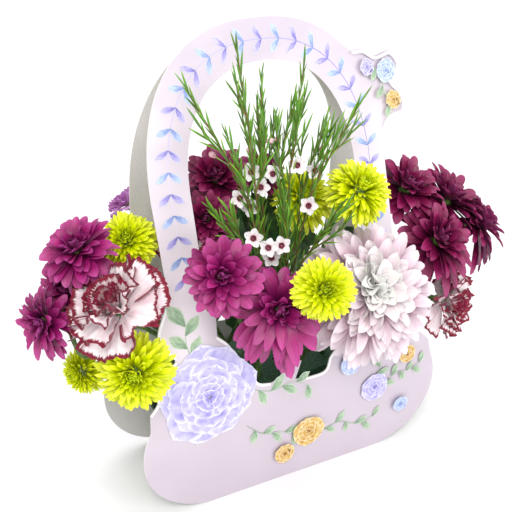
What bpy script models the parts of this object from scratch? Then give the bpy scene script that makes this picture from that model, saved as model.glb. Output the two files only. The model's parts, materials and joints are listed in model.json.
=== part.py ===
"""Flower basket arrangement: a folded board carrier with cut flowers standing in floral foam.

Run with blender --background --python part.py, or from Blender's text editor.
Lengths here are millimetres until solid() turns them into metres. +Z is up, +X runs along the
panels' width and -Y is the front. The origin is on the ground, under the middle of the base.
"""

import bpy
import bmesh
import numpy as np
from math import cos, sin, pi, radians, hypot, log, exp

MM = 0.001

# The board carrier.
HEIGHT = 331.0                  # ground to the top of both arches
BOARD = 0.8                     # thickness of the board
DEPTH = 82.5                    # between the two panels at the ground
POCKET_HALF = 123.0             # half of the pocket's width
FLAT_HALF = 68.0                # half of the straight bottom edge
CORNER_TOP = 53.0               # height where the pocket is widest
BAND = 27.0                     # width of the handle band
FRONT_ARCH = dict(half=91.5, spring=224.0, power=2.4, shift=-2.0)
BACK_ARCH = dict(half=95.0, spring=215.0, power=2.2, shift=0.0)
LEAN_START = 94.0               # the front panel is upright below this height
LEAN = 0.344                    # and then leans back this much for each mm of height
LEAN_BLEND = 12.0               # half height of the soft bend between the two
BEND_CUTS = (68.0, 82.0, 92.0, 102.0, 115.0, 135.0)
CORNER_STEPS = 7                # straight pieces round each end of the pocket

# What stands between the panels.
TRAY_TOP = 50.0
FOAM = dict(half_x=70.0, half_y=30.0, bottom=3.6, top=84.0)
CORNER_SPANS = 3                # straight pieces round each corner of the tray
STEM_DEPTH = 22.0               # how far each stem stands in the foam
STEM_RADIUS = 1.7
CALYX = 1.5                     # a stem under its head, as a share of its radius
TOUCH = 0.4                     # gap kept between pieces that touch
PETAL = 0.8                     # thickness of a petal

COLOURS = {
    "board_front": (0.84, 0.77, 0.88, 1.0),
    "board_back": (0.62, 0.62, 0.58, 1.0),
    "tray": (0.01, 0.05, 0.03, 1.0),
    "foam": (0.03, 0.09, 0.04, 1.0),
    "purple": (0.26, 0.02, 0.12, 1.0),
    "lime": (0.56, 0.65, 0.01, 1.0),
    "pink": (0.78, 0.55, 0.63, 1.0),
    "carnation": (0.75, 0.42, 0.48, 1.0),
    "lilac": (0.48, 0.20, 0.52, 1.0),
    "stem": (0.05, 0.14, 0.03, 1.0),
    "needle": (0.08, 0.20, 0.03, 1.0),
}
ROUGHNESS = {"board_front": 0.5, "board_back": 0.7, "tray": 0.25, "foam": 0.95}


# ---- meshes and objects ----

def material(name):
    found = bpy.data.materials.get(name)
    if found:
        return found
    made = bpy.data.materials.new(name)
    made.use_nodes = True
    shader = made.node_tree.nodes["Principled BSDF"]
    shader.inputs["Base Color"].default_value = COLOURS[name]
    shader.inputs["Roughness"].default_value = ROUGHNESS.get(name, 0.6)
    shader.inputs["Metallic"].default_value = 0.0
    return made


def solid(name, points, faces, colour):
    """One object from points in mm and faces that point out."""
    mesh = bpy.data.meshes.new(name)
    mesh.from_pydata([tuple(c * MM for c in p) for p in points], [], faces)
    mesh.materials.append(material(colour))
    made = bpy.data.objects.new(name, mesh)
    bpy.context.scene.collection.objects.link(made)
    return made


def outward(points, faces):
    """The same closed shape with every face turned out."""
    p = np.array(points, float)
    volume = 0.0
    for face in faces:
        for i in range(1, len(face) - 1):
            a, b, c = p[face[0]], p[face[i]], p[face[i + 1]]
            volume += np.dot(a, np.cross(b, c))
    if volume < 0:
        faces = [tuple(reversed(face)) for face in faces]
    return points, faces


def boolean(target, others, operation):
    """Applies one union or difference of a collection to target, then removes the collection."""
    group = bpy.data.collections.new(target.name + "_repeats")
    bpy.context.scene.collection.children.link(group)
    for other in others:
        bpy.context.scene.collection.objects.unlink(other)
        group.objects.link(other)
    change = target.modifiers.new("join", "BOOLEAN")
    change.operation = operation
    change.operand_type = "COLLECTION"
    change.collection = group
    change.solver = "MANIFOLD"
    graph = bpy.context.evaluated_depsgraph_get()
    joined = bpy.data.meshes.new_from_object(target.evaluated_get(graph))
    target.modifiers.remove(change)
    target.data = joined
    for other in list(group.objects):
        bpy.data.objects.remove(other)
    bpy.data.collections.remove(group)
    drop_scraps(target)
    return target


def drop_scraps(target):
    """Keeps the largest connected piece of a joined mesh and closes up tiny edges."""
    bm = bmesh.new()
    bm.from_mesh(target.data)
    bmesh.ops.triangulate(bm, faces=bm.faces)
    left = set(bm.verts)
    pieces = []
    while left:
        queue = [left.pop()]
        piece = set(queue)
        while queue:
            vert = queue.pop()
            for edge in vert.link_edges:
                other = edge.other_vert(vert)
                if other in left:
                    left.discard(other)
                    piece.add(other)
                    queue.append(other)
        pieces.append(piece)
    pieces.sort(key=len)
    for piece in pieces[:-1]:
        bmesh.ops.delete(bm, geom=list(piece), context="VERTS")
    bm.to_mesh(target.data)
    bm.free()


def axes(facing, turn=0.0):
    """Two directions across a facing direction, and the facing direction itself."""
    w = np.array(facing, float)
    w /= np.linalg.norm(w)
    side = np.cross((0.0, 0.0, 1.0), w)
    if np.linalg.norm(side) < 1e-6:
        side = np.array((1.0, 0.0, 0.0))
    side /= np.linalg.norm(side)
    up = np.cross(w, side)
    return cos(turn) * side + sin(turn) * up, cos(turn) * up - sin(turn) * side, w


def spline(points, steps):
    """A smooth open curve through a few points, as Catmull-Rom spans of this many steps."""
    p = [np.array(q, float) for q in points]
    curve = []
    for i, (a, b) in enumerate(zip(p, p[1:])):
        before = p[i - 1] if i > 0 else 2 * p[0] - p[1]
        after = p[i + 2] if i + 2 < len(p) else 2 * p[-1] - p[-2]
        for k in range(steps):
            t = k / steps
            curve.append(0.5 * (2 * a + (b - before) * t + (2 * before - 5 * a + 4 * b - after) * t * t
                                + (3 * a - before - 3 * b + after) * t ** 3))
    curve.append(p[-1])
    return curve


# ---- the board carrier ----

def front_y(z):
    """Middle of the front panel's board at a height: upright, then leaning back to the top."""
    step = (z - LEAN_START) / LEAN_BLEND
    rise = LEAN_BLEND * (step + log(1 + exp(-step)) if step > 0 else log(1 + exp(step)))
    return -DEPTH / 2 + LEAN * rise


def arch(half, top, spring, power, shift, steps):
    """Points over an arch from its right foot to its left foot."""
    points = []
    for i in range(steps + 1):
        a = pi * i / steps
        x = abs(cos(a)) ** (2 / power) * (1 if cos(a) > 0 else -1)
        points.append((shift + half * x, spring + (top - spring) * sin(a) ** (2 / power)))
    return points


def corner(side, start, end):
    """Points round the pocket's rounded end, from angle start to end, in degrees up from the ground."""
    points = []
    for i in range(CORNER_STEPS + 1):
        a = radians(start + (end - start) * i / CORNER_STEPS)
        points.append((side * (FLAT_HALF + (POCKET_HALF - FLAT_HALF) * sin(a)), CORNER_TOP * (1 - cos(a))))
    return points


def butterfly_edge():
    """The die-cut wing outline that stands out from the arch, from low to high."""
    lower_wing = spline([(91.5, 250.0), (97.0, 256.0), (109.0, 259.0), (108.0, 271.0), (100.0, 279.0)], 3)
    upper_wing = spline([(100.0, 279.0), (108.0, 290.0), (101.0, 300.0), (88.0, 298.0), (79.0, 303.0),
                         (69.0, 303.5)], 3)
    return lower_wing + upper_wing[1:]


def front_outline():
    over = arch(top=HEIGHT, steps=28, **FRONT_ARCH)
    left_of_wing = [p for p in over if p[0] < 64.0]
    right_lobe = corner(1, 0, 112) + spline([(115.0, 88.0), (106.0, 99.0), (95.5, 114.0), (90.0, 140.0)], 3)
    wing = [(89.5, 226.0)] + [tuple(p) for p in butterfly_edge()]
    leaf_bump = spline([(-93.5, 226.0), (-92.0, 168.0), (-96.0, 158.0), (-103.0, 144.0), (-100.0, 133.0),
                        (-93.5, 125.5)], 3)
    flower_bump = spline([(-93.5, 124.0), (-99.0, 119.0), (-102.0, 113.0), (-109.0, 107.0), (-110.0, 99.0),
                          (-116.0, 92.0)], 3)
    left_lobe = list(reversed(corner(-1, 0, 118)))
    rest = leaf_bump + flower_bump + left_lobe
    return right_lobe + wing + left_of_wing[:-1] + [tuple(p) for p in rest]


def front_hole():
    over = arch(half=FRONT_ARCH["half"] - BAND, top=HEIGHT - BAND, spring=226.0, power=2.3, shift=-1.0,
                steps=22)
    left_leg = spline([(-65.5, 226.0), (-64.5, 170.0), (-60.0, 153.0), (-61.0, 134.0)], 3)
    petals = spline([(-61.0, 134.0), (-53.0, 126.0), (-47.5, 115.0), (-39.0, 106.0), (-34.0, 93.5),
                     (-24.0, 90.0)], 3)
    leaf = [(-17.0, 91.5), (-12.0, 99.0), (2.0, 101.0), (-4.0, 87.5)]
    buds = spline([(5.0, 86.0), (21.0, 87.0), (26.0, 97.0), (33.0, 102.0), (40.0, 98.0), (49.0, 100.0),
                   (56.0, 97.0), (62.5, 112.0), (63.5, 140.0)], 3)
    edge = left_leg + petals[1:] + leaf + buds
    return over[:-1] + [tuple(p) for p in edge]


def back_outline():
    over = arch(top=HEIGHT, steps=28, **BACK_ARCH)
    right = corner(1, 0, 112) + spline([(115.0, 88.0), (107.0, 99.0), (99.0, 116.0), (95.0, 145.0)], 3)
    left = [(-x, z) for x, z in reversed(right)]
    return [tuple(p) for p in right] + over + [tuple(p) for p in left]


def back_hole():
    over = arch(half=BACK_ARCH["half"] - BAND - 1.5, top=HEIGHT - BAND, spring=222.0, power=2.3, shift=0.0,
                steps=22)
    edge = spline([(-66.5, 222.0), (-65.5, 140.0), (-50.0, 104.0), (0.0, 96.0), (50.0, 104.0),
                   (65.5, 140.0)], 4)
    return over[:-1] + [tuple(p) for p in edge]


def board_panel(name, outline, hole, middle, cuts, colour):
    """A sheet of board from an outline and a hole in the plane of X and Z, bent along middle(z)."""
    bm = bmesh.new()
    for loop in (outline, hole):
        verts = [bm.verts.new((x, 0.0, z)) for x, z in loop]
        for a, b in zip(verts, verts[1:] + verts[:1]):
            bm.edges.new((a, b))
    bmesh.ops.remove_doubles(bm, verts=bm.verts, dist=0.05)
    bmesh.ops.triangle_fill(bm, use_beauty=True, use_dissolve=False, edges=bm.edges)
    for z in cuts:
        everything = bm.verts[:] + bm.edges[:] + bm.faces[:]
        bmesh.ops.bisect_plane(bm, geom=everything, dist=0.01, plane_co=(0, 0, z), plane_no=(0, 0, 1))
    bmesh.ops.triangulate(bm, faces=bm.faces)
    bm.verts.index_update()
    flat = [tuple(v.co) for v in bm.verts]
    triangles = [tuple(v.index for v in face.verts) for face in bm.faces]
    rim = [tuple(v.index for v in edge.verts) for edge in bm.edges if len(edge.link_faces) == 1]
    bm.free()
    return sheet(name, flat, triangles, rim, middle, colour)


def sheet(name, flat, triangles, rim, middle, colour):
    """Gives a flat net of triangles the board's thickness along Y and its bend."""
    count = len(flat)
    front = [(x, middle(z) - BOARD / 2, z) for x, _, z in flat]
    back = [(x, middle(z) + BOARD / 2, z) for x, _, z in flat]
    near = []
    directed = set()
    for a, b, c in triangles:
        (ax, _, az), (bx, _, bz), (cx, _, cz) = flat[a], flat[b], flat[c]
        if (bx - ax) * (cz - az) - (bz - az) * (cx - ax) < 0:
            b, c = c, b
        near.append((a, b, c))
        directed |= {(a, b), (b, c), (c, a)}
    far = [(a + count, c + count, b + count) for a, b, c in near]
    walls = []
    for a, b in rim:
        if (a, b) not in directed:
            a, b = b, a
        walls += [(b, a, a + count), (b, a + count, b + count)]
    return solid(name, front + back, near + far + walls, colour)


def extruded(name, profile, low, high, colour):
    """A profile in the plane of Y and Z, carried along X from low to high."""
    count = len(profile)
    points = [(low, y, z) for y, z in profile] + [(high, y, z) for y, z in profile]
    faces = [tuple(range(count)), tuple(reversed(range(count, 2 * count)))]
    for i in range(count):
        j = (i + 1) % count
        faces.append((i, i + count, j + count, j))
    return solid(name, *outward(points, faces), colour)


def base_board():
    """A floor with two flanges that are glued inside the panels."""
    out = DEPTH / 2 - BOARD / 2 - TOUCH
    low, rise = 1.2, 16.0
    profile = [(-out, 0.0), (out, 0.0), (out, rise), (out - BOARD, rise), (out - BOARD, low),
               (-out + BOARD, low), (-out + BOARD, rise), (-out, rise)]
    return extruded("base_board", profile, -66.0, 66.0, "board_back")


def rounded_ring(half_x, half_y, radius, z):
    """Points round a rectangle with round corners, at one height."""
    points = []
    for quarter, (sx, sy) in enumerate(((1, 1), (-1, 1), (-1, -1), (1, -1))):
        for i in range(CORNER_SPANS + 1):
            a = pi / 2 * (quarter + i / CORNER_SPANS)
            x, y = sx * (half_x - radius), sy * (half_y - radius)
            points.append((x + radius * cos(a), y + radius * sin(a), z))
    return points


def tray():
    """A moulded dish with sloped lower sides and a turned-out rim."""
    outer = [rounded_ring(74, 35, 10, 1.7), rounded_ring(89, 36, 10, 15),
             rounded_ring(89, 36, 10, TRAY_TOP - 3)]
    rim = [rounded_ring(92, 38, 12, TRAY_TOP - 3), rounded_ring(92, 38, 12, TRAY_TOP)]
    inner = [rounded_ring(87, 34, 8.5, TRAY_TOP), rounded_ring(87, 34, 8.5, 16),
             rounded_ring(73, 33.4, 8.5, 3.2)]
    rings = outer + rim + inner
    count = len(rings[0])
    points = [p for ring in rings for p in ring]
    faces = [tuple(reversed(range(count)))]
    for level in range(len(rings) - 1):
        for i in range(count):
            j = (i + 1) % count
            a, b = level * count, (level + 1) * count
            faces.append((a + i, a + j, b + j, b + i))
    faces.append(tuple(range(len(points) - count, len(points))))
    return solid("foam_tray", *outward(points, faces), "tray")


# ---- stems and leaves ----

def tube(path, radii, sides):
    """A tube of a few sides along a path, closed at both ends."""
    p = [np.array(q, float) for q in path]
    points, faces = [], []
    side = None
    for i, here in enumerate(p):
        along = p[min(i + 1, len(p) - 1)] - p[max(i - 1, 0)]
        along /= np.linalg.norm(along)
        if side is None:
            side, _, _ = axes(along)
        side = side - along * np.dot(side, along)
        side /= np.linalg.norm(side)
        up = np.cross(along, side)
        for k in range(sides):
            a = 2 * pi * k / sides
            points.append(here + radii[i] * (cos(a) * side + sin(a) * up))
    for i in range(len(p) - 1):
        for k in range(sides):
            a, b = i * sides + k, i * sides + (k + 1) % sides
            faces.append((a, b, b + sides, a + sides))
    faces.append(tuple(reversed(range(sides))))
    faces.append(tuple(range(len(points) - sides, len(points))))
    return outward(points, faces)


def blade(root, tip, normal, width, droop=0.0, swell=0.5, thick=PETAL):
    """A thin pointed leaf of eight or sixteen triangles from root to tip."""
    root, tip = np.array(root, float), np.array(tip, float)
    along = tip - root
    side = np.cross(along, normal)
    side /= np.linalg.norm(side)
    up = np.cross(side, along)
    up /= np.linalg.norm(up)
    length = np.linalg.norm(along)
    rings = ((swell * 0.5, 0.8), (swell + 0.22, 0.95))
    points = [root]
    for t, share in rings:
        middle = root + along * t + up * droop * length * 4 * t * (1 - t)
        half = side * width / 2 * share
        points += [middle + half, middle + up * thick / 2, middle - half, middle - up * thick / 2]
    points.append(tip)
    faces = []
    for k in range(4):
        j = (k + 1) % 4
        faces += [(0, 1 + j, 1 + k), (1 + k, 1 + j, 5 + j), (1 + k, 5 + j, 5 + k), (5 + k, 5 + j, 9)]
    return outward(points, faces)


def stem_path(foot, head, facing, bulb, via=()):
    """From the foot of its hole straight up out of the foam, then in a bend to the back of the head."""
    fx, fy = foot
    away = axes(facing)[2]
    back = np.array(head, float) - away * bulb
    neck = back - away * 6.0
    bend = back - away * min(34.0, 0.30 * hypot(back[0] - fx, back[2] - FOAM["top"]) + 10.0)
    out = (fx + 0.04 * (back[0] - fx), fy + 0.04 * (back[1] - fy), FOAM["top"] + 10.0)
    above = [out, *via, neck] if via else [out, bend, neck]
    return [(fx, fy, FOAM["top"] - STEM_DEPTH + 1.0), (fx, fy, FOAM["top"] + 1.0), *spline(above, 3), back]


def leafy_stem(name, routes, leaves):
    """One branched green stem: tubes that start in one foot, and leaves, each from a point of a route."""
    parts = []
    for number, route in enumerate(routes):
        radii = [STEM_RADIUS] * (len(route) - 1) + [STEM_RADIUS * CALYX]
        parts.append(solid(f"{name}_{number}", *tube(route, radii, 4), "stem"))
    for number, (route, point, tip, width) in enumerate(leaves):
        shape = blade(routes[route][point], tip, (0.15, -0.5, 0.85), width, droop=0.10, thick=1.0)
        parts.append(solid(f"{name}_leaf_{number}", *shape, "stem"))
    parts[0].name = name
    return boolean(parts[0], parts[1:], "UNION") if len(parts) > 1 else parts[0]


def nearest(routes, target, below):
    """The point of these routes nearest to a spot this far below the target."""
    spot = np.array(target, float) - (0.0, 0.0, below)
    along = [a + (b - a) * t for route in routes for a, b in zip(route, route[1:])
             for t in (0.0, 0.25, 0.5, 0.75)]
    return min(along, key=lambda point: np.linalg.norm(point - spot))


def spike(root, tip, radius):
    """A needle leaf of three sides."""
    root, tip = np.array(root, float), np.array(tip, float)
    u, v, _ = axes(tip - root)
    ring = [root + radius * (cos(2 * pi * k / 3) * u + sin(2 * pi * k / 3) * v) for k in range(3)]
    return outward(ring + [tip], [(0, 2, 1), (0, 1, 3), (1, 2, 3), (2, 0, 3)])


def small_flower(centre, facing, radius):
    """A small five-petalled flower, thickest at its heart."""
    u, v, w = axes(facing, 0.3)
    centre = np.array(centre, float)
    points = [centre + w * 0.8, centre - w * 0.8]
    for k in range(10):
        a = 2 * pi * k / 10
        reach = radius if k % 2 else radius * 0.45
        points.append(centre + (u * cos(a) + v * sin(a)) * reach + w * (1.0 if k % 2 else 0.2))
    faces = []
    for k in range(10):
        a, b = 2 + k, 2 + (k + 1) % 10
        faces += [(0, a, b), (1, b, a)]
    return outward(points, faces)


def needles(name, route, rng):
    """Needle leaves in a spiral along the upper part of one twig, closest to it at its tip."""
    grown = spline(route[2:], 4)
    reach = sum(np.linalg.norm(b - a) for a, b in zip(grown, grown[1:]))
    count = int(reach / NEEDLE_SPACING)
    first = int(count * (BARE_LONG if reach > LONG_TWIG else BARE_SHORT))
    parts = []
    for k in range(first, count + 1):
        place = min(len(grown) - 2, int(k / count * (len(grown) - 1)))
        here, after = grown[place], grown[place + 1]
        u, v, w = axes(after - here)
        a = GOLDEN_TURN * k + rng.uniform(-0.3, 0.3)
        tilt = radians(rng.uniform(22, 36)) if k < count - 1 else radians(10)
        away = (u * cos(a) + v * sin(a)) * sin(tilt) + w * cos(tilt)
        parts.append(solid(f"{name}_leaf", *spike(here, here + away * rng.uniform(15, 20), 0.75), "needle"))
    return parts


def waxflower(name, foot, twigs, flowers, buds, seed):
    """One waxflower spray: twigs from one foot, needle leaves along them, small flowers and buds."""
    rng = np.random.default_rng(seed)
    fx, fy = foot
    low = [(fx, fy, FOAM["top"] - STEM_DEPTH + 1.0), (fx, fy, FOAM["top"] + 1.0)]
    routes = []
    for path in twigs:
        routes.append([np.array(q, float) for q in low] + spline([(fx, fy, FOAM["top"] + 14.0), *path], 2))
    parts = []
    for number, route in enumerate(routes):
        radii = [1.3] * 2 + list(np.linspace(1.2, 0.7, len(route) - 2))
        parts.append(solid(f"{name}_{number}", *tube(route, radii, 3), "needle"))
        parts += needles(name, route, rng)
    for centre in flowers:
        root = nearest(routes, centre, 10.0)
        centre = np.array(centre, float)
        parts.append(solid(f"{name}_stalk", *tube([root, centre], [0.7, 0.7], 3), "needle"))
        parts.append(solid(f"{name}_flower", *small_flower(centre, (-0.42, -0.75, 0.5), 5.8), "needle"))
    for centre in buds:
        root = nearest(routes, centre, 8.0)
        bud = blade(root, centre, (0, -1, 0.3), 3.4, swell=0.6, thick=3.0)
        parts.append(solid(f"{name}_bud", *bud, "needle"))
    parts[0].name = name
    return boolean(parts[0], parts[1:], "UNION")


# ---- blooms ----

class Surface:
    """The growing skin of a bloom, from its underside to its top, as points and triangles."""

    def __init__(self, centre, facing, turn):
        self.centre = np.array(centre, float)
        self.u, self.v, self.w = axes(facing, turn)
        self.points, self.faces, self.ring = [], [], []

    def put(self, angle, radius, height):
        across = self.u * cos(angle) + self.v * sin(angle)
        self.points.append(self.centre + across * radius + self.w * height)
        return len(self.points) - 1

    def close(self, height, underside):
        """Closes the open ring with a fan to one point on the axis."""
        middle = self.put(0.0, 0.0, height)
        for (_, a), (_, b) in zip(self.ring, self.ring[1:] + self.ring[:1]):
            self.faces.append((middle, b, a) if underside else (middle, a, b))

    def bridge(self, ring):
        """Joins the open ring to the next one up. Both hold angles in rising order and point numbers."""
        if not self.ring:
            self.ring = ring
            return
        low, high = self.ring, ring
        i, j = 0, 0
        while i < len(low) or j < len(high):
            next_low = low[(i + 1) % len(low)][0] + (2 * pi if i + 1 >= len(low) else 0)
            next_high = high[(j + 1) % len(high)][0] + (2 * pi if j + 1 >= len(high) else 0)
            a, b = low[i % len(low)][1], high[j % len(high)][1]
            if j >= len(high) or (i < len(low) and next_low <= next_high):
                self.faces.append((a, low[(i + 1) % len(low)][1], b))
                i += 1
            else:
                self.faces.append((a, high[(j + 1) % len(high)][1], b))
                j += 1
        self.ring = ring

    def petals(self, count, inner, reach, low, high, curl, lobes, phase, rng):
        """A ring of petals joined at their roots, its two skins a petal's thickness apart."""
        pitch = 2 * pi / count
        plan = []
        for i in range(count):
            a = pitch * (i + phase)
            tip = a + rng.uniform(-0.08, 0.08) * pitch
            far = reach * rng.uniform(0.92, 1.04)
            lift = rng.uniform(-0.03, 0.03) * reach
            shoulder = inner + (far - inner) * 0.70
            wide = lobes * pitch / 2
            plan += [(a - pitch / 2, inner, 0.0), (a, inner, 0.0), (tip - wide, shoulder, lift),
                     (tip, far, lift), (tip + wide, shoulder, lift)]

        def skin(drop):
            numbers = []
            for angle, radius, lift in plan:
                t = (radius - inner) / (reach - inner)
                numbers.append(self.put(angle, radius, low + (high - low) * t + curl * t * t + lift - drop))
            return numbers

        under = skin(PETAL)
        self.bridge([(plan[k][0], under[k]) for k in range(5 * count) if k % 5 < 2])
        over = skin(0.0)
        for i in range(count):
            valley, rib, left, tip, right = (5 * i + k for k in range(5))
            following = 5 * ((i + 1) % count)
            for a, b, c in ((valley, left, rib), (rib, left, tip), (rib, tip, right),
                            (rib, right, following)):
                self.faces += [(over[a], over[b], over[c]), (under[c], under[b], under[a])]
            for a, b in ((valley, left), (left, tip), (tip, right), (right, following)):
                self.faces += [(over[b], over[a], under[a]), (over[b], under[a], under[b])]
        self.ring = [(plan[k][0], over[k]) for k in range(5 * count) if k % 5 < 2]

    def frill(self, count, inner, reach, low, high, wave, phase, rng):
        """A frilled ring: a thin dish whose cut edge waves up and down."""
        plan = []
        for i in range(count):
            lift = wave * (1 if i % 2 else -1) * rng.uniform(0.6, 1.1)
            plan.append((2 * pi * (i + phase) / count, reach * rng.uniform(0.88, 1.05), high + lift))

        def skin(drop):
            near = [self.put(angle, inner, low - drop) for angle, _, _ in plan]
            return near, [self.put(angle, radius, height - drop) for angle, radius, height in plan]

        near_under, far_under = skin(PETAL)
        self.bridge([(plan[i][0], near_under[i]) for i in range(count)])
        near, far = skin(0.0)
        for i in range(count):
            j = (i + 1) % count
            self.faces += [(near[i], far[i], near[j]), (near[j], far[i], far[j])]
            self.faces += [(near_under[j], far_under[i], near_under[i]),
                           (far_under[j], far_under[i], near_under[j])]
            self.faces += [(far[j], far[i], far_under[i]), (far[j], far_under[i], far_under[j])]
        self.ring = [(plan[i][0], near[i]) for i in range(count)]


def bloom(name, kind, head, facing, radius, seed):
    """One flower head: its petal layers grow from one heart, as one closed skin."""
    rng = np.random.default_rng(seed)
    shape = BLOOMS[kind]
    heart, bottom = shape["heart"] * radius, shape["bottom"] * radius
    skin = Surface(head, facing, rng.uniform(0, pi))
    skin.ring = [(2 * pi * k / 8, skin.put(2 * pi * k / 8, heart * 0.6, bottom)) for k in range(8)]
    skin.close(bottom, underside=True)
    for number, (count, reach, low, high, curl) in enumerate(shape["layers"]):
        inner = heart * (1.0 - 0.12 * number)
        sizes = (inner, reach * radius, low * radius, high * radius, curl * radius)
        if shape["frilled"]:
            skin.frill(count, *sizes, 0.5 * (number % 2), rng)
        else:
            skin.petals(count, *sizes, shape["lobes"], 0.5 * (number % 2), rng)
    skin.close(shape["top"] * radius, underside=False)
    return solid(name, *outward(skin.points, skin.faces), shape["colour"])


# Each layer: petals, reach, height at the heart, height at the tips, and curl, as shares of the radius.
# A frilled layer has the depth of its waves in place of the curl.
BLOOMS = {
    "purple": dict(colour="purple", heart=0.30, bottom=-0.34, top=0.42, lobes=0.64, frilled=False,
                   layers=((9, 1.0, -0.08, 0.12, -0.22), (7, 0.80, 0.04, 0.36, -0.05),
                           (4, 0.50, 0.16, 0.52, 0.0))),
    "purple_small": dict(colour="purple", heart=0.32, bottom=-0.34, top=0.40, lobes=0.66, frilled=False,
                         layers=((7, 1.0, -0.06, 0.14, -0.18), (5, 0.72, 0.10, 0.44, 0.0))),
    "lime": dict(colour="lime", heart=0.40, bottom=-0.40, top=0.56, lobes=0.76, frilled=False,
                 layers=((10, 1.0, -0.12, 0.08, -0.30), (8, 0.84, 0.06, 0.40, -0.10),
                         (5, 0.58, 0.24, 0.60, 0.0))),
    "lime_small": dict(colour="lime", heart=0.40, bottom=-0.40, top=0.50, lobes=0.76, frilled=False,
                       layers=((8, 1.0, -0.10, 0.10, -0.24), (5, 0.74, 0.14, 0.48, 0.0))),
    "pink": dict(colour="pink", heart=0.26, bottom=-0.34, top=0.52, lobes=0.62, frilled=False,
                 layers=((12, 1.0, -0.18, 0.00, -0.30), (11, 0.92, -0.06, 0.24, -0.12),
                         (9, 0.76, 0.06, 0.44, 0.0), (7, 0.54, 0.18, 0.56, 0.06),
                         (4, 0.34, 0.30, 0.60, 0.06))),
    "carnation": dict(colour="carnation", heart=0.24, bottom=-0.42, top=0.42, frilled=True,
                      layers=((18, 1.0, -0.12, 0.02, 0.09), (15, 0.84, 0.02, 0.30, 0.08),
                              (11, 0.60, 0.14, 0.46, 0.07), (7, 0.34, 0.26, 0.54, 0.04))),
    "carnation_small": dict(colour="carnation", heart=0.24, bottom=-0.42, top=0.40, frilled=True,
                            layers=((14, 1.0, -0.10, 0.06, 0.09), (10, 0.78, 0.06, 0.36, 0.07),
                                    (6, 0.46, 0.20, 0.48, 0.04))),
    "lilac": dict(colour="lilac", heart=0.24, bottom=-0.42, top=0.40, frilled=True,
                  layers=((14, 1.0, -0.10, 0.06, 0.09), (10, 0.78, 0.06, 0.36, 0.07),
                          (6, 0.46, 0.20, 0.48, 0.04))),
}

# Heads: name, kind, centre, facing direction, radius.
HEADS = (
    ("mum_purple_left_top", "purple", (-147, 2, 203), (-0.45, -0.15, 0.88), 28),
    ("mum_purple_left_mid", "purple", (-156, 11, 174), (-0.85, -0.40, 0.30), 24),
    ("mum_purple_left_low", "purple_small", (-178, -8, 164), (-0.95, -0.25, -0.10), 22),
    ("mum_lime_left_top", "lime", (-108, 12, 199), (-0.35, -0.60, 0.72), 22),
    ("carnation_left", "carnation", (-130, -35, 178), (-0.53, -0.12, 0.84), 38),
    ("mum_lime_left_low", "lime", (-126, -42, 136), (-0.45, -0.85, 0.12), 25),
    ("mum_lime_left_side", "lime_small", (-146, 10, 106), (-0.90, -0.25, -0.05), 15),
    ("carnation_back", "lilac", (-89, 64, 201), (-0.40, 0.55, 0.70), 16),
    ("carnation_inner", "carnation_small", (-66, 18, 190), (-0.20, -0.15, 0.97), 23),
    ("mum_purple_front_left", "purple", (-68, -52, 198), (-0.40, -0.78, 0.48), 31),
    ("mum_purple_front_mid", "purple", (-29, -63, 168), (-0.25, -0.85, 0.35), 36),
    ("mum_lime_front", "lime", (-12, -88, 190), (-0.35, -0.75, 0.55), 24),
    ("mum_purple_back_left", "purple", (-43, 30, 239), (-0.25, -0.35, 0.90), 26),
    ("mum_purple_back_low", "purple_small", (-52, 11, 213), (-0.40, -0.70, 0.60), 18),
    ("mum_purple_back_mid", "purple_small", (-4, 30, 238), (0.10, -0.10, 1.0), 20),
    ("mum_lime_mid", "lime", (24, 10, 205), (0.00, -0.50, 0.86), 25),
    ("mum_lime_right", "lime", (48, -29, 223), (0.10, -0.55, 0.83), 26),
    ("mum_pink_large", "pink", (40, -62, 169), (-0.10, -0.85, 0.50), 49),
    ("mum_purple_right_back", "purple_small", (113, 16, 194), (0.25, -0.20, 0.95), 25),
    ("mum_purple_right_top", "purple", (157, 10, 177), (0.60, -0.10, 0.80), 30),
    ("mum_purple_right_front", "purple", (126, -24, 157), (0.25, -0.70, 0.65), 34),
    ("mum_purple_right_far", "purple_small", (185, 0, 158), (0.92, -0.25, 0.25), 26),
    ("carnation_right", "carnation", (131, -22, 111), (0.75, -0.55, -0.05), 29),
)

# Where a stem must go round the board or another head, the points it passes above the foam.
WAYPOINTS = {
    "mum_purple_left_low": ((-106.0, 20.0, 128.0), (-148.0, -8.0, 131.0)),
    "carnation_back": ((-50.0, 34.0, 130.0), (-58.0, 50.0, 165.0)),
    "carnation_left": ((-92.0, -12.0, 130.0), (-109.0, -12.0, 146.0)),
    "mum_lime_left_low": ((-92.0, -12.0, 112.0), (-110.0, -19.0, 124.0)),
    "mum_lime_front": ((-8.0, -43.0, 130.0), (-7.0, -55.0, 171.0)),
}

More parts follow.
